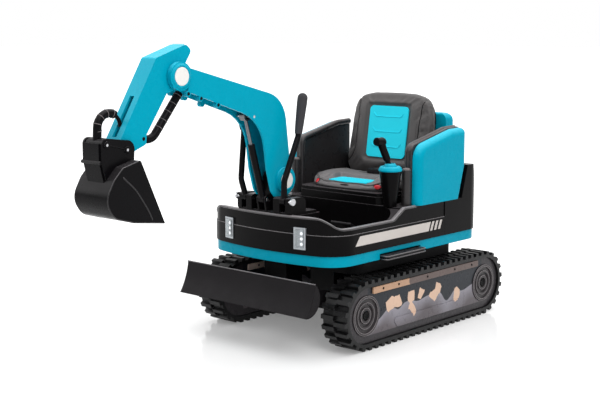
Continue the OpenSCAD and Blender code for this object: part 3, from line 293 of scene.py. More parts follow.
def camouflage(name):
    """A common camouflage on the track sides: slate above, grey below, angular pale flecks between."""
    n = Nodes(name)
    tones = ((33, 37, 44), (100, 94, 98), (150, 147, 156), (226, 192, 168), (58, 55, 58))
    slate, grey, lilac, tan, rim = (linear(c) for c in tones)
    place = n.axes()
    wave = n.math("ADD", place["Z"], n.range(n.noise(7, 1, 0.3), 0.3, 0.7, -0.035, 0.035))
    base = n.mix(n.range(wave, 0.05, 0.098, 0, 1), grey, lilac)
    base = n.mix(n.range(wave, 0.098, 0.1, 0, 1), base, slate)
    # Some cells of a pattern are flecks, each whole: those in a band of heights, not near the wheels
    moved = n.moved(0.02, 22)
    pick = n.tree.nodes.new("ShaderNodeSeparateColor")
    n.link(n.voronoi(33, "Color", place=moved), pick.inputs[0])
    cell = n.axes(n.voronoi(33, "Position", place=moved))
    inside = n.inside(place)
    high = n.math("MAXIMUM", n.range(cell["Z"], 0.14, 0.141, 1, 0), inside)
    band = n.math("MULTIPLY", n.range(cell["Z"], 0.085, 0.086, 0, 1), high)
    band = n.math("MULTIPLY", band, n.range(n.from_middle(cell), 0.2, 0.201, 1, 0))
    chance = n.math("ADD", pick.outputs[0], n.math("MULTIPLY", inside, 0.2))
    fleck = n.math("MULTIPLY", n.range(chance, 0.68, 0.681, 0, 1), band)
    # On faces inside the tracks the flecks take a paler tan: painted light
    base = n.mix(fleck, base, n.mix(inside, tan, LIT_INSIDE_TAN))
    # The ends and the lower edge are plain
    ends = n.range(n.from_middle(place), 0.284, 0.286, 0, 1)
    plain = n.math("MAXIMUM", ends, n.range(place["Z"], 0.04, 0.042, 1, 0))
    n.link(n.mix(plain, base, rim), n.bsdf.inputs["Base Color"])
    n.link(n.range(n.noise(45, 3), 0.3, 0.7, 0.24, 0.36), n.bsdf.inputs["Roughness"])
    n.bump(n.noise(700, 2), 0.04, 0.0003)
    n.set(Specular_IOR_Level=0.2)
    return n.material


def rail_print(name):
    """The print on the rails above the track sides: taupe, and tan towards the front; on the inside faces the
    tan is paler, as painted light.
    """
    n = Nodes(name)
    place = n.axes()
    wave = n.math("ADD", place["Y"], n.range(n.noise(18, 1, 0.6), 0.3, 0.7, -0.05, 0.05))
    front = SLEW_Y / 1000 - 0.09
    tan = n.mix(n.inside(place), linear((190, 152, 124)), LIT_INSIDE_TAN)
    tone = n.mix(n.range(wave, front, front + 0.002, 0, 1), tan, linear((104, 90, 86)))
    n.link(tone, n.bsdf.inputs["Base Color"])
    n.link(n.range(n.noise(45, 3), 0.3, 0.7, 0.26, 0.38), n.bsdf.inputs["Roughness"])
    n.bump(n.noise(700, 2), 0.04, 0.0003)
    n.set(Specular_IOR_Level=0.2)
    return n.material


def tread_rubber(name):
    """Belt rubber, paler and rougher in patches as it scuffs."""
    n = Nodes(name)
    scuff = n.noise(26, 5, 0.5)
    n.link(n.mix(n.range(scuff, 0.45, 0.75, 0, 1), linear((9, 9, 10)), linear((30, 29, 31))),
           n.bsdf.inputs["Base Color"])
    n.link(n.range(scuff, 0.3, 0.8, 0.34, 0.56), n.bsdf.inputs["Roughness"])
    n.bump(n.math("ADD", n.noise(520, 3), n.math("MULTIPLY", n.noise(60, 3), 0.6)), 0.3, 0.0006)
    n.set(Specular_IOR_Level=0.25)
    return n.material


def clear(name, rgb, rough=0.06):
    """Clear plastic of a lamp's lens."""
    n = Nodes(name)
    n.link(n.range(n.noise(80, 2), 0.3, 0.7, rough, rough + 0.06), n.bsdf.inputs["Roughness"])
    n.set(Base_Color=linear(rgb), Transmission_Weight=0.85, IOR=1.49)
    return n.material


def glow(name, rgb, strength):
    """A lit diode under its dome."""
    n = Nodes(name)
    ring = n.voronoi(300)
    n.link(n.mix(ring, linear(rgb), shade(linear(rgb), 0.8)), n.bsdf.inputs["Base Color"])
    n.set(Roughness=0.2, Emission_Color=linear(rgb), Emission_Strength=strength)
    return n.material


# The top colours make upper faces paler: a painted highlight of the light from above
black_shell = moulded("black_shell", (11, 10, 11), 0.24, 0.04, 1100, 0.04, gloss=0.05, top=(66, 63, 65))
# A paler black for beads and lips: it paints the highlights along rims and edges
rim_highlight_black = moulded("rim_highlight_black", (62, 59, 61), 0.3, 0.04, 1100, 0.04, gloss=0.5, top=(136, 132, 134))
black_grain = moulded("black_grain", (26, 25, 27), 0.4, grain=800, bump=0.2, top=(58, 56, 58))
blade_black = moulded("blade_black", (28, 26, 28), 0.42, grain=900, bump=0.15)
link_black = moulded("link_black", (12, 11, 13), 0.28, 0.05, 1000, 0.05, gloss=0.06, top=(52, 50, 52))
# A paler black for the bucket's beads: it paints the highlights along the bucket's edges
bead_highlight_black = moulded("bead_highlight_black", (34, 32, 34), 0.3, 0.04, 1000, 0.04, gloss=0.3, top=(124, 120, 122))
under_black = moulded("under_black", (15, 15, 16), 0.5, grain=700, bump=0.2)
teal_shell = moulded(
    "teal_shell", (0, 160, 187), 0.28, 0.04, 1000, 0.03, tint=0.015, gloss=0.05, top=(60, 192, 216)
)
teal_insert = moulded("teal_insert", (40, 214, 236), 0.36, 0.05, 900, 0.06, tint=0.03)
hub_grey = moulded("hub_grey", (50, 46, 48), 0.28, grain=900, bump=0.08, gloss=0.25)
grip_rubber = moulded("grip_rubber", (62, 61, 64), 0.6, grain=600, bump=0.3)
buckle_black = moulded("buckle_black", (24, 24, 26), 0.28, grain=900, bump=0.08)
cap_white = moulded("cap_white", (236, 234, 230), 0.3, 0.05, 900, 0.06, coat=0.2, tint=0.03)
inner_grey = moulded("inner_grey", (92, 92, 96), 0.5)
red_lens = moulded("red_lens", (205, 30, 42), 0.16, 0.04, 500, 0.05, coat=0.6, tint=0.08)
pale_trim = moulded("pale_trim", (206, 199, 194), 0.32, 0.06, 900, 0.08, coat=0.2, tint=0.04)
# Grey of the post caps; on the links' rings the same grey is a painted highlight
knob_and_ring_highlight_grey = moulded("knob_and_ring_highlight_grey", (112, 106, 106), 0.4)
# A pale grey for the hubs' rings: it paints the highlights on the ring edges
ring_highlight_grey = moulded("ring_highlight_grey", (118, 112, 114), 0.3, gloss=0.4)
liner_black = moulded("liner_black", (40, 38, 39), 0.3, 0.05, 1000, 0.06, gloss=0.3, top=(86, 82, 83))
seam_black = moulded("seam_black", (20, 19, 19), 0.6, grain=1800, bump=0.3)
seat_skin = leather("seat_skin", (58, 55, 55))
# The seat cushion's leather is a paler copy of the backrest's, which paints the light on its upward top
seat_lit_skin = leather("seat_lit_skin", (88, 85, 86))
piping_skin = leather("piping_skin", (58, 55, 56))
strap_web = webbing("strap_web", (26, 25, 27))
belt_rubber = tread_rubber("belt_rubber")
camo_print = camouflage("camo_print")
rail_taupe = rail_print("rail_taupe")
bare_steel = metal("bare_steel", (186, 187, 190), 0.26)
dark_steel = metal("dark_steel", (104, 104, 107), 0.3)
lamp_silver = metal("lamp_silver", (160, 164, 168), 0.42, (20, 1, 60))
lamp_clear = clear("lamp_clear", (232, 238, 240))
lamp_diode = glow("lamp_diode", (245, 248, 250), 0.4)
thread = moulded("thread", (96, 92, 92), 0.7, grain=2500, bump=0.4)

# The finish of each CAD node
FINISH = {
    black_shell: "house_tub footwell_pan counterweight seat_box backrest_shell joystick_cup boom_bracket",
    black_grain: "side_steps foot_pedal",
    liner_black: "side_liners",
    under_black: "chassis_frame chassis_deck house_floor",
    blade_black: "dozer_blade blade_arms",
    link_black: "stick_link bucket_link bucket_shell bucket_bracket lever_left lever_right strut_barrel "
                "joystick_handle",
    teal_shell: "house_skirt rear_hood engine_covers joystick_ring boom stick",
    teal_insert: "seat_insert backrest_insert",
    seat_skin: "seat_pad backrest_pad",
    camo_print: "track_panels track_covers",
    rail_taupe: "side_rails",
    belt_rubber: "track_belt_left track_belt_right",
    hub_grey: "idler_wheel_left idler_wheel_right drive_wheel_left drive_wheel_right",
    bare_steel: "king_bolt axle_rods slew_ring house_pins boom_pins bucket_pins joystick_gimbal",
    dark_steel: "strut_rod",
    grip_rubber: "grip_left grip_right",
    strap_web: "belt_strap",
    buckle_black: "belt_buckle",
    lamp_silver: "lamp_housings",
    lamp_clear: "lamp_lenses",
    cap_white: "pivot_caps",
    inner_grey: "drive_motors battery control_box",
}

# How far, in millimetres, the moulded edges of a node are rounded
EDGE = {
    "rear_hood": 7, "counterweight": 5, "house_tub": 1.2, "house_skirt": 1.5, "seat_box": 3, "side_steps": 3,
    "backrest_shell": 2, "footwell_pan": 3, "belt_buckle": 2.5, "foot_pedal": 1.2, "joystick_ring": 0.8,
    "boom_bracket": 2, "boom": 3, "stick": 4, "bucket_shell": 1.5, "bucket_bracket": 1.5, "pivot_caps": 1,
    "dozer_blade": 2, "chassis_frame": 3, "chassis_deck": 2, "track_covers": 1.5, "side_rails": 1,
    "track_belt_left": 0.8, "track_belt_right": 0.8, "lamp_lenses": 0.5,
}
PLAIN_EDGE = 0.6


def round_edges(o, width, segments):
    """Round an object's sharp edges by width millimetres, with the shading of its flat faces kept."""
    bevel = o.modifiers.new("edge", "BEVEL")
    bevel.limit_method = "ANGLE"
    bevel.angle_limit = math.radians(35)
    bevel.width = width / 1000
    bevel.segments = segments
    o.modifiers.new("normals", "WEIGHTED_NORMAL").keep_sharp = True
    return bevel


def soften(o, width):
    """Smooth shading with edges rounded by width millimetres. The points of the CAD mesh stay as they are."""
    mesh = o.data
    if "custom_normal" in mesh.attributes:
        mesh.attributes.remove(mesh.attributes["custom_normal"])
    mesh.polygons.foreach_set("use_smooth", [True] * len(mesh.polygons))
    weld = o.modifiers.new("weld", "WELD")
    weld.merge_threshold = 0.00001
    flat = o.modifiers.new("flat", "DECIMATE")
    flat.decimate_type = "DISSOLVE"
    flat.angle_limit = math.radians(0.4)
    bevel = round_edges(o, width, 3)
    bevel.use_clamp_overlap = True


for material, names in FINISH.items():
    for name in names.split():
        nodes[name].data.materials.clear()
        nodes[name].data.materials.append(material)
for name, o in nodes.items():
    soften(o, EDGE.get(name, PLAIN_EDGE))


# Mesh helpers


def piece(name, bm, material, body, smooth=True, bevel=0.0):
    """A new mesh piece that rides on a body."""
    bmesh.ops.recalc_face_normals(bm, faces=bm.faces)
    mesh = bpy.data.meshes.new(name)
    bm.to_mesh(mesh)
    bm.free()
    mesh.polygons.foreach_set("use_smooth", [smooth] * len(mesh.polygons))
    o = bpy.data.objects.new(name, mesh)
    bpy.context.scene.collection.objects.link(o)
    mesh.materials.append(material)
    if bevel:
        round_edges(o, bevel, 2)
    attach(o, body)
    return o


def lathe(bm, profile, place, count=32):
    """Turn a profile of (radius, height) in millimetres about the z axis of place, closed to a solid."""
    rings = []
    for r, h in profile:
        turns = [2 * math.pi * i / count for i in range(count if r else 1)]
        rings.append([
            bm.verts.new(place @ (Vector((r * math.cos(t), r * math.sin(t), h)) / 1000)) for t in turns
        ])
    if len(rings[0]) == len(rings[-1]) == count:
        rings.append(rings[0])
    else:
        for ring in (rings[0], rings[-1]):
            if len(ring) == count:
                bm.faces.new(ring)
    for a, b in zip(rings, rings[1:]):
        for i in range(count):
            j = (i + 1) % count
            if len(a) == 1:
                bm.faces.new((a[0], b[i], b[j]))
            elif len(b) == 1:
                bm.faces.new((a[i], b[0], a[j]))
            else:
                bm.faces.new((a[i], b[i], b[j], a[j]))


def facing(point, direction):
    """A matrix at a point whose z axis is the direction."""
    return Matrix.Translation(point) @ Vector(direction).to_track_quat("Z", "Y").to_matrix().to_4x4()


# Side plane: u along the machine, v up, extruded across
SIDE = Matrix((Vector((0, 1, 0)), Vector((0, 0, 1)), Vector((1, 0, 0)))).transposed().to_4x4()


def slab(bm, outline, place, low, high):
    """Extrude an outline of (u, v) in millimetres from low to high along the z axis of place."""
    ends = []
    for h in (low, high):
        ends.append([bm.verts.new(place @ Vector((u / 1000, v / 1000, h / 1000))) for u, v in outline])
    bm.faces.new(ends[0][::-1])
    bm.faces.new(ends[1])
    n = len(outline)
    for i in range(n):
        j = (i + 1) % n
        bm.faces.new((ends[0][i], ends[0][j], ends[1][j], ends[1][i]))


def block(u0, u1, v0, v1):
    """The outline of a rectangle."""
    return [(u0, v0), (u1, v0), (u1, v1), (u0, v1)]


def tube(bm, path, r, count=10, closed=False):
    """Round tube of radius r millimetres along points of the row frame."""
    turns = [2 * math.pi * k / count for k in range(count)]
    circle = [Vector((math.cos(t), math.sin(t), 0)) * r / 1000 for t in turns]
    rings = []
    n = len(path)
    for i, p in enumerate(path):
        a = path[(i - 1) % n] if closed or i else p
        b = path[(i + 1) % n] if closed or i < n - 1 else p
        turn = (b - a).to_track_quat("Z", "X").to_matrix()
        rings.append([bm.verts.new(p + turn @ c) for c in circle])
    pairs = list(zip(rings, rings[1:])) + ([(rings[-1], rings[0])] if closed else [])
    for a, b in pairs:
        # Start each ring at the point nearest to the last one, so that the tube doesn't twist
        first = min(range(count), key=lambda k: (b[k].co - a[0].co).length)
        ahead = (b[(first + 1) % count].co - a[1].co).length
        behind = (b[(first - 1) % count].co - a[1].co).length
        way = 1 if ahead < behind else -1
        b = [b[(first + way * k) % count] for k in range(count)]
        for k in range(count):
            j = (k + 1) % count
            bm.faces.new((a[k], a[j], b[j], b[k]))
    if not closed:
        bm.faces.new(rings[0])
        bm.faces.new(rings[-1])


def smooth_path(points, count):
    """Points spread evenly along a smooth curve through the given ones."""
    p = [points[0] * 2 - points[1], *points, points[-1] * 2 - points[-2]]
    fine = []
    for i in range(1, len(p) - 2):
        for k in range(24):
            t = k / 24
            a, b, c, d = p[i - 1], p[i], p[i + 1], p[i + 2]
            bend = (2 * a - 5 * b + 4 * c - d) * t * t
            twist = (3 * b - a - 3 * c + d) * t ** 3
            fine.append(0.5 * (2 * b + (c - a) * t + bend + twist))
    fine.append(points[-1])
    way = [0.0]
    for a, b in zip(fine, fine[1:]):
        way.append(way[-1] + (b - a).length)
    out, k = [], 0
    for i in range(count):
        s = way[-1] * i / (count - 1)
        while k < len(way) - 2 and way[k + 1] < s:
            k += 1
        f = (s - way[k]) / max(way[k + 1] - way[k], 1e-9)
        out.append(fine[k].lerp(fine[k + 1], f))
    return out


# Soft parts

# How far, in millimetres, a cushion may swell, and the share of its size that it starts from
SWELL, SHRINK = 9, 0.975


def evaluated_mesh(o):
    """The mesh of an object with its modifiers, as a new mesh."""
    return bpy.data.meshes.new_from_object(o.evaluated_get(bpy.context.evaluated_depsgraph_get()))


def stuffed(name, node, material, resting):
    """A cushion swollen by pressure from a CAD pad. Points that rest on something stay where they are."""
    mesh = nodes[node].data.copy()
    o = bpy.data.objects.new(name, mesh)
    bpy.context.scene.collection.objects.link(o)
    weld = o.modifiers.new("weld", "WELD")
    weld.merge_threshold = 0.00001
    remesh = o.modifiers.new("remesh", "REMESH")
    remesh.mode = "VOXEL"
    remesh.voxel_size = 0.005
    even = o.modifiers.new("even", "SMOOTH")
    even.iterations = 2
    mesh = evaluated_mesh(o)
    o.modifiers.clear()
    o.data = mesh
    middle = sum((v.co for v in mesh.vertices), Vector()) / len(mesh.vertices)
    rest = [v.co.copy() for v in mesh.vertices]
    held = o.vertex_groups.new(name="held")
    for v in mesh.vertices:
        if resting(v.co):
            held.add([v.index], 1.0, "REPLACE")
        else:
            v.co = middle + (v.co - middle) * SHRINK
    cloth = o.modifiers.new("cloth", "CLOTH")
    cloth.settings.use_pressure = True
    cloth.settings.uniform_pressure_force = 4
    cloth.settings.effector_weights.gravity = 0
    cloth.settings.quality = 5
    cloth.settings.vertex_group_mass = "held"
    cloth.point_cache.frame_start, cloth.point_cache.frame_end = 1, 20
    for i in range(1, 21):
        bpy.context.scene.frame_set(i)
    swollen = evaluated_mesh(o)
    o.modifiers.clear()
    for v, w, r in zip(mesh.vertices, swollen.vertices, rest):
        d = w.co - r
        v.co = r + d * min(1, SWELL / 1000 / max(d.length, 1e-9))
    bpy.data.meshes.remove(swollen)
    bpy.context.scene.frame_set(1)
    mesh.materials.clear()
    mesh.materials.append(material)
    mesh.polygons.foreach_set("use_smooth", [True] * len(mesh.polygons))
    return o


def finish_cushion(o, node):
    """Make a cushion fine, and put it in the place of its CAD pad."""
    o.modifiers.new("fine", "SUBSURF").levels = 1
    o.modifiers["fine"].render_levels = 1
    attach(o, "house")
    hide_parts(node)


def crease(o, distance, depth, width, push):
    """Press a sewn channel into a cushion: distance gives how far a point is from it, push the way in."""
    for v in o.data.vertices:
        d = distance(v.co)
        if d is not None:
            v.co += push * (depth / 1000 * math.exp(-((d / width) ** 2)))


# Leaning frame of the backrest: x across, y up along the lean, z forwards
lean = math.radians(90 - BACK["lean"])
BACK_FRAME = Matrix.Translation(at(0, BACK["y"], BACK["z"])) @ Matrix.Rotation(lean, 4, "X")
BACK_INVERSE = BACK_FRAME.inverted()
back_front = BACK_FRAME.to_3x3() @ Vector((0, 0, 1))

SEAT_FRAME = Matrix.Translation(at(0, SEAT_INSERT["y"], SEAT_INSERT["z"]))
SEAT_FRAME = SEAT_FRAME @ Matrix.Rotation(math.radians(SEAT_INSERT["tilt"]), 4, "X")


def on_box(p):
    """Whether a point of the seat cushion rests on the seat box."""
    return p.z < at(0, 0, BOX_TOP + 5).z


def on_shell(p):
    """Whether a point of the backrest cushion rests on the shell."""
    return (BACK_INVERSE @ p).z < 0.006


cushion = stuffed("seat_cushion", "seat_pad", seat_lit_skin, on_box)
back_cushion = stuffed("backrest_cushion", "backrest_pad", seat_skin, on_shell)


def bolster_seam(y):
    """Distance from the middle, in metres, of the sewn channel beside the backrest's bolsters."""
    low = max(0, -0.055 - y) / 0.05
    high = max(0, y - 0.07) / 0.04
    return 0.121 + 0.036 * low * low + 0.012 * high * high


def to_bolster(p):
    """How far, in millimetres, a point on the front of the backrest is from that channel."""
    q = BACK_INVERSE @ p
    if q.z < 0.02:
        return None
    return (abs(q.x) - bolster_seam(q.y)) * 1000


def step(x, low, high):
    """A smooth rise from 0 at low to 1 at high."""
    t = min(1, max(0, (x - low) / (high - low)))
    return t * t * (3 - 2 * t)


def press(o, place, plate, height):
    """Hold a cushion down to a height behind a plate, less and less towards the plate's edges."""
    back = place.inverted()
    for v in o.data.vertices:
        q = back @ v.co
        k = (1 - step(abs(q.x), *plate["x"])) * (1 - step(abs(q.y - plate["middle"]), *plate["y"]))
        if k > 0 and q.z > height / 1000:
            q.z += (height / 1000 - q.z) * k
            v.co = place @ q


# Where the two inserts press, in metres of their frames: all of the way, and not at all
BACK_PLATE = {"x": (0.078, 0.09), "middle": -0.002, "y": (0.084, 0.096)}
SEAT_PLATE = {"x": (0.075, 0.085), "middle": 0.026, "y": (0.037, 0.046)}

# Below this height, in metres along the lean, the backrest is drawn down behind the cushion
BACK_LOW = -0.06

for v in back_cushion.data.vertices:
    q = BACK_INVERSE @ v.co
    if q.y < BACK_LOW:
        q.y = BACK_LOW + (q.y - BACK_LOW) * 1.3
        v.co = BACK_FRAME @ q
press(back_cushion, BACK_FRAME, BACK_PLATE, BACK["thick"] - 0.5)

# The sides of the seat cushion rise a little towards the back
for v in cushion.data.vertices:
    p = v.co * 1000 - Vector((0, SLEW_Y, 0))
    if p.z > BOX_TOP + 15:
        v.co.z += 0.005 * step(abs(p.x), 95, 135) * step(p.y, -45, 10)
press(cushion, SEAT_FRAME, SEAT_PLATE, SEAT_INSERT["thick"] - 1.5)
crease(back_cushion, to_bolster, 4.5, 3.0, -back_front)
finish_cushion(cushion, "seat_pad")
finish_cushion(back_cushion, "backrest_pad")


class Skin:
    """The surface of a finished piece, for setting other pieces on it."""

    def __init__(self, o):
        self.tree = BVHTree.FromObject(o, bpy.context.evaluated_depsgraph_get())

    def hit(self, origin, direction):
        """Where a ray meets the surface, and the normal there."""
        place, normal, _, _ = self.tree.ray_cast(origin, Vector(direction).normalized())
        return place, normal


seat_surface = Skin(cushion)
back_surface = Skin(back_cushion)


def stitches(name, lines, length=5.5, gap=3.5, r=0.55):
    """Thread along lines given as lists of (point, normal): one short capsule for each stitch."""
    bm = bmesh.new()
    for line in lines:
        way, start = 0.0, None
        for (a, na), (b, nb) in zip(line, line[1:]):
            way += (b - a).length * 1000
            if start is None:
                start = a + na * 0.0003
            if way >= length:
                end = b + nb * 0.0003
                axis = end - start
                place = facing(start, axis)
                h = axis.length * 1000
                lathe(bm, [(0, 0), (r, 0.4), (r, h - 0.4), (0, h)], place, 6)
                way, start = -gap, None
            if way < 0:
                start = None
    return piece(name, bm, thread, "house")


def on_back(x, y):
    """The point and normal of the backrest's front, at a place given in metres of its frame."""
    p = BACK_FRAME @ Vector((x, y, 0.2))
    return back_surface.hit(p, -back_front)


def on_seat(x, y):
    """The point and normal of the seat cushion's top."""
    return seat_surface.hit(at(x, y, 600), (0, 0, -1))


# Dark seams beside the bolsters of the backrest, with a row of stitches on each side
lines = []
seams = bmesh.new()
for side in (-1, 1):
    heights = [-0.1 + 0.2 * i / 79 for i in range(80)]
    hits = [on_back(side * bolster_seam(y), y)[0] for y in heights]
    tube(seams, [p for p in hits if p is not None], 1.3, 8)
    heights = [-0.1 + 0.2 * i / 199 for i in range(200)]
    for off in (-0.0065, 0.0065):
        hits = [on_back(side * (bolster_seam(y) + off), y) for y in heights]
        lines.append([hit for hit in hits if hit[0] is not None])
stitches("backrest_stitches", lines)
piece("backrest_seams", seams, seam_black, "house")

# Piping round the upper edge of the seat cushion
path = []
for i in range(96):
    a = 2 * math.pi * (i + 0.5) / 96
    c, s = math.cos(a), math.sin(a)
    m = 5 if s > 0 else 3.2
    x = math.copysign(abs(c) ** (2 / m), c) * (CUSHION["half"] - 16)
    y = math.copysign(abs(s) ** (2 / m), s) * (CUSHION["length"] / 2 - 16)
    hit = on_seat(x, CUSHION["y"] + y)
    if hit[0] is not None:
        path.append(hit[0] + hit[1] * 0.0005)
bm = bmesh.new()
tube(bm, path, 2.2, 10, True)
piece("seat_piping", bm, piping_skin, "house")

# Ribs pressed into the backrest's insert
RIB = [(-0.058, 0.012), (-0.05, 0.002), (-0.04, 0), (0.04, 0), (0.05, 0.002), (0.058, 0.012)]
bm = bmesh.new()
for up in (0.046, -0.002, -0.05):
    rib = [BACK_FRAME @ Vector((x, up + y, BACK["thick"] / 1000 + 0.0052)) for x, y in RIB]
    tube(bm, smooth_path(rib, 40), 1.5, 8)
piece("insert_ribs", bm, teal_insert, "house")

# Red reflectors in dark rims, and between them a dark flat plate that paints the shade of a slot, in the
# front lip of the seat
bm = bmesh.new()
rims_and_slot_bm = bmesh.new()
for x in (-119, 119):
    place, normal = seat_surface.hit(at(x, -300, 422), (0, 1, 0))
    m = facing(place - normal * 0.001, normal) @ Matrix.Diagonal((0.95, 0.62, 1, 1))
    lathe(bm, [(0, 2.6), (6, 2.5), (10, 2.0), (12, 1.2), (12.4, -2)], m, 32)
    lathe(rims_and_slot_bm, [(12.4, -2), (12.4, 1.6), (13.4, 2.2), (14.6, 1.6), (14.8, -2)], m, 32)
piece("seat_reflectors", bm, red_lens, "house")
place, normal = seat_surface.hit(at(3, -300, 420), (0, 1, 0))
across = Vector((1, 0, 0))
m = Matrix((across, normal.cross(across).normalized(), normal)).transposed().to_4x4()
m = Matrix.Translation(place) @ m
turns = [2 * math.pi * (i + 0.5) / 24 for i in range(24)]
outline = [(13 * math.cos(t) + math.copysign(5, math.cos(t)), 3.2 * math.sin(t)) for t in turns]
slab(rims_and_slot_bm, outline, m, -2, 0.7)
piece("seat_lip_rims_and_slot_shade", rims_and_slot_bm, buckle_black, "house", bevel=0.5)


# Trim on the house

# Radius of the bowed front wall, which meets the rounded corners without a kink
FRONT_IN = NOSE - CORNER_Y
FRONT_R = ((HOUSE_HALF - CORNER_R) ** 2 + FRONT_IN ** 2 - CORNER_R ** 2) / (2 * (FRONT_IN - CORNER_R))


def on_nose(x, out, z):
    """A point in front of the nose, out millimetres off its wall, and the wall's normal there."""
    t = math.asin(x / FRONT_R)
    n = Vector((math.sin(t), -math.cos(t), 0))
    p = at(0, -NOSE + FRONT_R, z) + n * (FRONT_R + out) / 1000
    return p, n


def filleted(points, count=10):
    """A path of (u, v, r) with each corner rounded off by about r."""
    out = []
    for i, (u, v, r) in enumerate(points):
        p = Vector((u, v))
        if not r:
            out.append(p)
            continue
        a = Vector(points[i - 1][:2]) - p
        b = Vector(points[i + 1][:2]) - p
        t = min(r / math.tan(a.angle(b) / 2), 0.49 * a.length, 0.49 * b.length)
        start, end = p + a.normalized() * t, p + b.normalized() * t
        for k in range(count + 1):
            f = k / count
            out.append(start * (1 - f) ** 2 + p * (2 * f * (1 - f)) + end * f ** 2)
    return out


def half_width(y, inset):
    """Half of the house's width at y, moved inwards by inset."""
    if y >= -CORNER_Y:
        return HOUSE_HALF - inset
    turn = math.atan2(NOSE - FRONT_R - CORNER_Y, HOUSE_HALF - CORNER_R)
    r = CORNER_R - inset
    if y >= -CORNER_Y + r * math.sin(turn):
        return HOUSE_HALF - CORNER_R + math.sqrt(r * r - (y + CORNER_Y) ** 2)
    return math.sqrt(max((FRONT_R - inset) ** 2 - (FRONT_R - NOSE - y) ** 2, 0))


def round_house(profile, inset):
    """Points round the front of the house, along a profile of (y, z) from one side to the nose and back."""
    side = [(half_width(p.x, inset), p.x, p.y) for p in profile]
    x, y, z = side[-1]
    for k in range(1, 21):
        w = x * (1 - k / 20)
        side.append((w, FRONT_R - NOSE - math.sqrt((FRONT_R - inset) ** 2 - w * w), z))
    return [at(*p) for p in side] + [at(-x, y, z) for x, y, z in side[-2::-1]]


def evenly(points, gap):
    """The same path with points about gap apart."""
    out = [points[0]]
    for a, b in zip(points, points[1:]):
        n = max(1, round((b - a).length / gap))
        out += [a.lerp(b, k / n) for k in range(1, n + 1)]
    return out


def lip(bm, outer, inner, rise, count=8):
    """A rounded band between two paths, rise millimetres high in its middle."""
    rings = []
    for i, (a, b) in enumerate(zip(outer, inner)):
        k = min(i, len(outer) - 2)
        up = (b - a).cross(outer[k + 1] - outer[k]).normalized()
        up = up if up.z > 0 else -up
        turns = [math.pi * j / count for j in range(count + 1)]
        arch = [a.lerp(b, (1 - math.cos(t)) / 2) + up * rise * math.sin(t) / 1000 for t in turns]
        rings.append([bm.verts.new(p) for p in [*arch, b - up * rise / 1000, a - up * rise / 1000]])
    for a, b in zip(rings, rings[1:]):
        for k in range(len(a)):
            j = (k + 1) % len(a)
            bm.faces.new((a[k], a[j], b[j], b[k]))
    bm.faces.new(rings[0])
    bm.faces.new(rings[-1][::-1])


# Rolled lip along the rim, which dips on both sides, and the bead over the groove below it, in a paler black
# that paints the highlights on them
LIP_OUT, LIP_W, LIP_RISE = 2, 14, 3.5
rim = evenly(filleted([
    (-24, RIM_Z, 0), (-79, RIM_Z, 25), (-130, RIM_Z - RIM_DIP, 30), (-358, RIM_Z - RIM_DIP, 40),
    (-390, RIM_Z, 12), (RIM_END, RIM_Z, 0)
]), 6)
bm = bmesh.new()
lip(bm, round_house(rim, LIP_OUT), round_house(rim, LIP_OUT + LIP_W), LIP_RISE)
groove = evenly([Vector((SPLIT_Y, GROOVE_Z)), Vector((RIM_END, GROOVE_Z))], 6)
tube(bm, round_house(groove, 1.3), 1.4, 8)
piece("rim_beads", bm, rim_highlight_black, "house")

# Rolled edge of the black liners beside the seat
bm = bmesh.new()
roll = evenly(filleted([(-12, RIM_Z + 2, 0), (-10, 546, 26), (165, 586, 80), (224, 588, 0)]), 6)
for side in (-1, 1):
    tube(bm, [at(side * LINER_X, q.x, q.y) for q in roll], LINER_ROLL, 16)
piece("liner_rolls", bm, liner_black, "house")

# Three diodes in each lamp
bm = bmesh.new()
ring_bm = bmesh.new()
for side in (-1, 1):
    for k in (-1, 0, 1):
        m = facing(*on_nose(side * LAMP_X + DIODE_ASIDE, DIODE_OUT, LAMP_Z + DIODE_GAP * k))
        lathe(bm, [(0, 2.2), (2.4, 1.9), (4, 1.0), (4.6, 0.2), (4.6, -1)], m, 24)
        lathe(ring_bm, [(4.7, -1), (4.7, 0.6), (5.4, 1.1), (6.6, 0.8), (7, -1)], m, 24)
piece("lamp_diodes", bm, lamp_diode, "house")
piece("lamp_bezels", ring_bm, lamp_silver, "house")

# Pale stripe with three slashes on each side of the shell
bm = bmesh.new()
for side in (-1, 1):
    m = Matrix.Translation(at(side * HOUSE_HALF, 0, 0)) @ SIDE
    stripe = [(-308, STRIPE_LOW), (37, STRIPE_LOW), (47, STRIPE_HIGH), (-288, STRIPE_HIGH)]
    slashes = [
        [(y, STRIPE_LOW), (y + 11, STRIPE_LOW), (y + 22, STRIPE_HIGH), (y + 11, STRIPE_HIGH)]
        for y in (44, 64, 84)
    ]
    for outline in [stripe, *slashes]:
        slab(bm, outline, m, *sorted((side * -0.5, side * 0.6)))
piece("side_stripes", bm, pale_trim, "house", smooth=False)

# Pale caps on the two side posts
bm = bmesh.new()
for side in (-1, 1):
    m = Matrix.Translation(at(side * POST[0], *POST[1:]))
    lathe(bm, [(12, -0.5), (12, 1.5), (11.4, 4), (9, 6), (5, 7), (0, 7.3)], m, 32)
piece("post_caps", bm, knob_and_ring_highlight_grey, "house")

# Teal dome round the foot of the joystick
bm = bmesh.new()
m = Matrix.Translation(pivot("joystick_pitch"))
arc = [math.radians(a) for a in range(8, 51, 6)]
outside = [(20.4 * math.cos(a), 20.4 * math.sin(a)) for a in arc]
inside = [(19 * math.cos(a), 19 * math.sin(a)) for a in arc[-2::-1]]
lathe(bm, outside + [(12.6, 14.8)] + inside, m, 36)
piece("joystick_dome", bm, teal_shell, "gimbal")

# Press button on the buckle
bm = bmesh.new()
m = Matrix.Translation(at(16, CUSHION["y"] + 53, BOX_TOP + CUSHION["thick"] + 16.4))
slab(bm, [(-6, -8), (6, -8), (8, -6), (8, 6), (6, 8), (-6, 8), (-8, 6), (-8, -6)], m, -1, 1.4)
piece("buckle_button", bm, grip_rubber, "house", bevel=0.7)

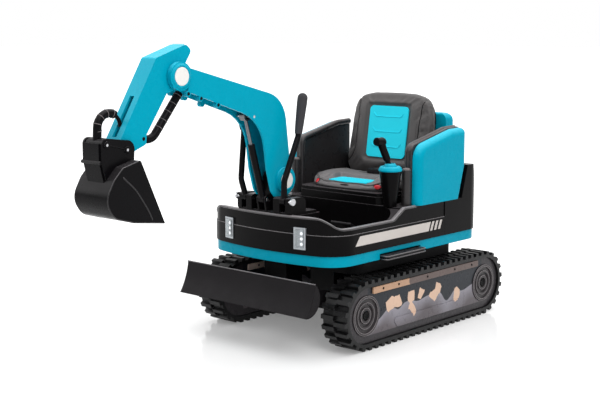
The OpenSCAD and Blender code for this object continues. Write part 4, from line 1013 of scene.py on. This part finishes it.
# Tread on the pedal and on the side steps
bm = bmesh.new()
pedal = Matrix.Translation(pivot("pedal_press")) @ Matrix.Rotation(math.radians(PEDAL_TILT), 4, "X")
for k in range(6):
    y = -78 + 12 * k
    slab(bm, block(-31, 31, y, y + 4), pedal, 3.6, 5.2)
piece("pedal_tread", bm, black_grain, "pedal", smooth=False, bevel=0.6)
bm = bmesh.new()
for side in (-1, 1):
    for k in range(11):
        y = -172 + 15 * k
        x0, x1 = sorted(side * x for x in STEP_X)
        slab(bm, block(x0, x1, y, y + 5), Matrix.Translation(at(0, 0, STEP_TOP)), -1, 1.2)
piece("step_tread", bm, black_grain, "house", smooth=False, bevel=0.5)

# Beads round the upper and the lower edge of the side steps, in a paler black that paints the highlights on
# these edges
bm = bmesh.new()
low, high = (Vector(p) * 1000 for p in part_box("side_steps"))
inner = STEP_X[0]
for side in (-1, 1):
    edge = filleted([(inner, low.y, 0), (high.x, low.y, 14), (high.x, high.y, 14), (inner, high.y, 0)])
    for z in (low.z + 1.5, high.z - 1.5):
        tube(bm, [Vector((side * p.x, p.y, z)) / 1000 for p in edge], 2, 10)
piece("step_beads", bm, rim_highlight_black, "house")


# Trim on the arm

# Stepped rings round the pivot caps
COLLAR = [(24.6, -1), (24.6, 2.2), (26, 3.0), (29, 3.0), (30.5, 1.6), (31, 0.9), (33.5, 0.6), (34.5, -1)]
bm = bmesh.new()
for p in (FOOT, ELBOW):
    for side in (-1, 1):
        lathe(bm, COLLAR, facing(at(side * (BOOM_HALF + 7), *p), (side, 0, 0)), 48)
piece("pivot_collars", bm, teal_shell, "boom_arm")

# Pan-head screws along the boom, with a dimple for the recess
SCREW = [(4.5, -0.5), (4.5, 1.0), (3.6, 1.9), (1.575, 2.2), (1.35, 1.0), (0, 0.8)]
bm = bmesh.new()
for y, z in ((30, -46), (75, -60), (137, -80)):
    for side in (-1, 1):
        lathe(bm, SCREW, facing(at(side * BOOM_HALF, ELBOW[0] + y, ELBOW[1] + z), (side, 0, 0)), 24)
piece("boom_screws", bm, under_black, "boom_arm")


def rings_along(bm, path, r, count):
    """Thin raised rings round a rod, evenly along a path."""
    profile = [(r - 0.6, -1.1), (r + 0.4, -0.8), (r + 0.7, 0), (r + 0.4, 0.8), (r - 0.6, 1.1)]
    for k in range(count):
        i = int(k * (len(path) - 2) / (count - 1))
        lathe(bm, profile, facing(path[i], path[i + 1] - path[i]), 28)


# Pale raised rings round the two links: their grey paints the highlights on the links' segment edges
bm = bmesh.new()
link_a = at(0, ROD_PIN[0] + 74, ROD_PIN[1] + 21)
link_b = at(0, ROD_PIN[0] + 142, ROD_PIN[1] + 103)
rings_along(bm, [link_a.lerp(link_b, i / 40) for i in range(41)], LINK_R, 5)
piece("stick_link_rings", bm, knob_and_ring_highlight_grey, "stick_rod")
bm = bmesh.new()
turns = [math.radians(190 - 3 * i) for i in range(41)]
arc = [at(0, LINK_PIN[0] + 38 + 36 * math.cos(a), LINK_PIN[1] + 38 + 36 * math.sin(a)) for a in turns]
rings_along(bm, arc, LINK_R, 5)
piece("bucket_link_rings", bm, knob_and_ring_highlight_grey, "bucket_rod")

# A ledge on the front of the bucket's bracket, and a rib between the pins on each ear
bm = bmesh.new()
m = Matrix.Translation(at(0, *TIP)) @ SIDE
slab(bm, [(-87, -27), (-84, -22), (-80, -22), (-80, -30), (-84, -31)], m, -EAR_HALF, EAR_HALF)
for side in (-1, 1):
    tube(bm, [at(side * EAR_HALF, *p) for p in (LINK_PIN, TIP)], 1.6, 10)
piece("bracket_front", bm, link_black, "bucket", bevel=1.2)

# Black washers over the ends of the bucket's pins
low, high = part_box("bucket_pins")
bm = bmesh.new()
for p in (TIP, LINK_PIN):
    for x in (low[0], high[0]):
        m = facing(at(x * 1000, *p), (x, 0, 0))
        lathe(bm, [(9, -1.2), (9, 0.4), (8.2, 1.1), (4, 1.1), (3.6, 0.6), (3.4, -0.2)], m, 32)
piece("pin_washers", bm, link_black, "bucket")

# Beads along the outline of the bucket's sides and along the stiffened edge of its mouth, in a paler black
# that paints the highlights along these edges
BUCKET_SIDE = [
    (19, -25, 0), (-38, -40, 10), (-66, -68, 30), (-96, -120, 45), (-66, -163, 40), (-6, -180, 60),
    (96, -193, 0)
]
BUCKET_EDGE = [(-972, 534), (-952, 517), (-930, 496), (-908, 466), (-892, 442), (-880, 419)]
shell = Skin(nodes["bucket_shell"])
outline = []
for q in evenly(filleted(BUCKET_SIDE), 5)[1:-1]:
    place, normal, _, _ = shell.tree.find_nearest(at(0, TIP[0] + q.x, TIP[1] + q.y))
    outline.append(place - normal * 0.0012)
bm = bmesh.new()
for side in (-1, 1):
    tube(bm, [Vector((side * (BUCKET_HALF - 1) / 1000, p.y, p.z)) for p in outline], 1.6, 8)
    tube(bm, smooth_path([at(side * BUCKET_HALF, *p) for p in BUCKET_EDGE], 40), 2.2, 10)
piece("bucket_beads", bm, bead_highlight_black, "bucket")


# Trim on the blade and the tracks

# Bead along the upper edge of the blade, in a paler black that paints the highlight on it
low, high = (Vector(p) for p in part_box("dozer_blade"))
edge, _ = Skin(nodes["dozer_blade"]).hit(Vector((0, low.y - 1, high.z - 0.003)), (0, 1, 0))
right, left = (Vector((x, edge.y + 0.0008, high.z - 0.0014)) for x in (low.x, high.x))
bm = bmesh.new()
tube(bm, [right.lerp(left, i / 40) for i in range(41)], 1.8, 10)
piece("blade_bead", bm, rim_highlight_black, "blade")

# Rivets along both faces of the side rails
RIVET = [(3.4, -0.5), (3.4, 0.7), (2.6, 1.5), (1.2, 1.8), (0, 1.8)]
bm = bmesh.new()
for side in (-1, 1):
    for y in (-222, -150, -10, 130, 222):
        lathe(bm, RIVET, facing(at(side * RAIL_OUT, y, RIVET_Z), (side, 0, 0)), 20)
    for y in (-222, -120, -20):
        lathe(bm, RIVET, facing(at(side * RAIL_IN, y, RIVET_Z), (-side, 0, 0)), 20)
piece("rail_rivets", bm, under_black, "undercarriage")

# Dark hollow caps over the axle ends and raised rings on the hubs, by their heights over the hub's face; the
# rings' pale grey paints the highlights on their edges
CAP = [
    (0, -7.4), (8.6, -7.4), (8.6, -8.6), (11, -8.6), (11, -4.5), (10.4, -3.4), (8, -3), (7, -4), (3, -4.2),
    (0, -4.2)
]
HUB_RINGS = ((56.4, -0.6), (51, -0.2), (37.4, -2.2), (22, -3.2))
RAISED = ((-1.2, -0.8), (-0.8, 0.4), (0, 0.8), (0.8, 0.4), (1.2, -0.8))
for end in ("idler", "drive"):
    for side, word in ((1, "left"), (-1, "right")):
        low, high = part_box(f"{end}_wheel_{word}")
        middle = (Vector(low) + Vector(high)) / 2
        middle.x = max(side * low[0], side * high[0]) * side
        m = facing(middle, (side, 0, 0))
        bm = bmesh.new()
        lathe(bm, CAP, m, 32)
        piece(f"{end}_cap_{word}", bm, under_black, f"{end}_{word}")
        bm = bmesh.new()
        for r, h in HUB_RINGS:
            lathe(bm, [(r + dr, h + dh) for dr, dh in RAISED], m, 64)
        piece(f"{end}_rings_{word}", bm, ring_highlight_grey, f"{end}_{word}")


# Camera, light and floor

# Fitted to the photograph: focal length in millimetres, place, and how far it looks down and turns
LENS, CAMERA_AT, CAMERA_DOWN, CAMERA_TURN = 71.27, (2302.74, -2822.05, 902.57), 8.40, 41.88
camera = bpy.data.objects.new("camera", bpy.data.cameras.new("camera"))
bpy.context.scene.collection.objects.link(camera)
camera.data.sensor_width = 36
camera.data.lens = LENS
camera.location = at(*CAMERA_AT)
camera.rotation_euler = (math.radians(90 - CAMERA_DOWN), 0, math.radians(CAMERA_TURN))
bpy.context.scene.camera = camera
bpy.context.scene.view_settings.view_transform = "Standard"


def seen_rays(tree):
    """1 for the rays that show the surroundings: camera, glossy and transmission rays."""
    path = tree.nodes.new("ShaderNodeLightPath")
    total = path.outputs["Is Camera Ray"]
    for kind in ("Is Glossy Ray", "Is Transmission Ray"):
        most = tree.nodes.new("ShaderNodeMath")
        most.operation = "MAXIMUM"
        tree.links.new(total, most.inputs[0])
        tree.links.new(path.outputs[kind], most.inputs[1])
        total = most.outputs[0]
    return total


# A white surrounding that lights the object at half its strength
world = bpy.data.worlds.new("studio")
bpy.context.scene.world = world
world.use_nodes = True
tree = world.node_tree
background = tree.nodes["Background"]
strength = tree.nodes.new("ShaderNodeMapRange")
strength.inputs["To Min"].default_value = 0.5
strength.inputs["To Max"].default_value = 1.0
tree.links.new(seen_rays(tree), strength.inputs["Value"])
tree.links.new(strength.outputs["Result"], background.inputs["Strength"])
background.inputs["Color"].default_value = (1, 1, 1, 1)


def lamp(name, place, target, size, power):
    """A soft rectangular lamp that looks at a target."""
    light = bpy.data.lights.new(name, "AREA")
    light.shape = "RECTANGLE"
    light.size, light.size_y = size
    light.energy = power
    o = bpy.data.objects.new(name, light)
    o.location = place
    o.rotation_euler = (Vector(target) - Vector(place)).to_track_quat("-Z", "Y").to_euler()
    bpy.context.scene.collection.objects.link(o)


lamp("top", (0.3, 0.1, 3.2), (0, 0, 0.3), (3.6, 3.6), 80)
lamp("key", (2.6, -1.4, 2.6), (0, 0, 0.4), (1.8, 1.8), 40)
lamp("side", (-2.6, -2.0, 2.0), (0, 0, 0.4), (1.6, 2.0), 24)

# A pale, slightly glossy floor that fades into the white around it
floor_bm = bmesh.new()
bmesh.ops.create_grid(floor_bm, x_segments=8, y_segments=8, size=40)
floor_mesh = bpy.data.meshes.new("floor")
floor_bm.to_mesh(floor_mesh)
floor_bm.free()
floor = bpy.data.objects.new("floor", floor_mesh)
bpy.context.scene.collection.objects.link(floor)
floor.location = (0, 0, -0.0005)
floor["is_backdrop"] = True
n = Nodes("floor_white")
n.link(n.mix(n.noise(3, 2), (0.9, 0.9, 0.9, 1), (0.92, 0.92, 0.92, 1)), n.bsdf.inputs["Base Color"])
n.link(n.range(n.noise(20, 2), 0.3, 0.7, 0.1, 0.14), n.bsdf.inputs["Roughness"])
n.set(IOR=1.5, Emission_Color=(1, 1, 1, 1))
far = n.tree.nodes.new("ShaderNodeVectorMath")
far.operation = "LENGTH"
n.link(n.place, far.inputs[0])
glare = n.range(far.outputs["Value"], 0.5, 2.2, 0.2, 0.7)
n.link(n.math("MULTIPLY", seen_rays(n.tree), glare), n.bsdf.inputs["Emission Strength"])
floor_mesh.materials.append(n.material)

low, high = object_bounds()
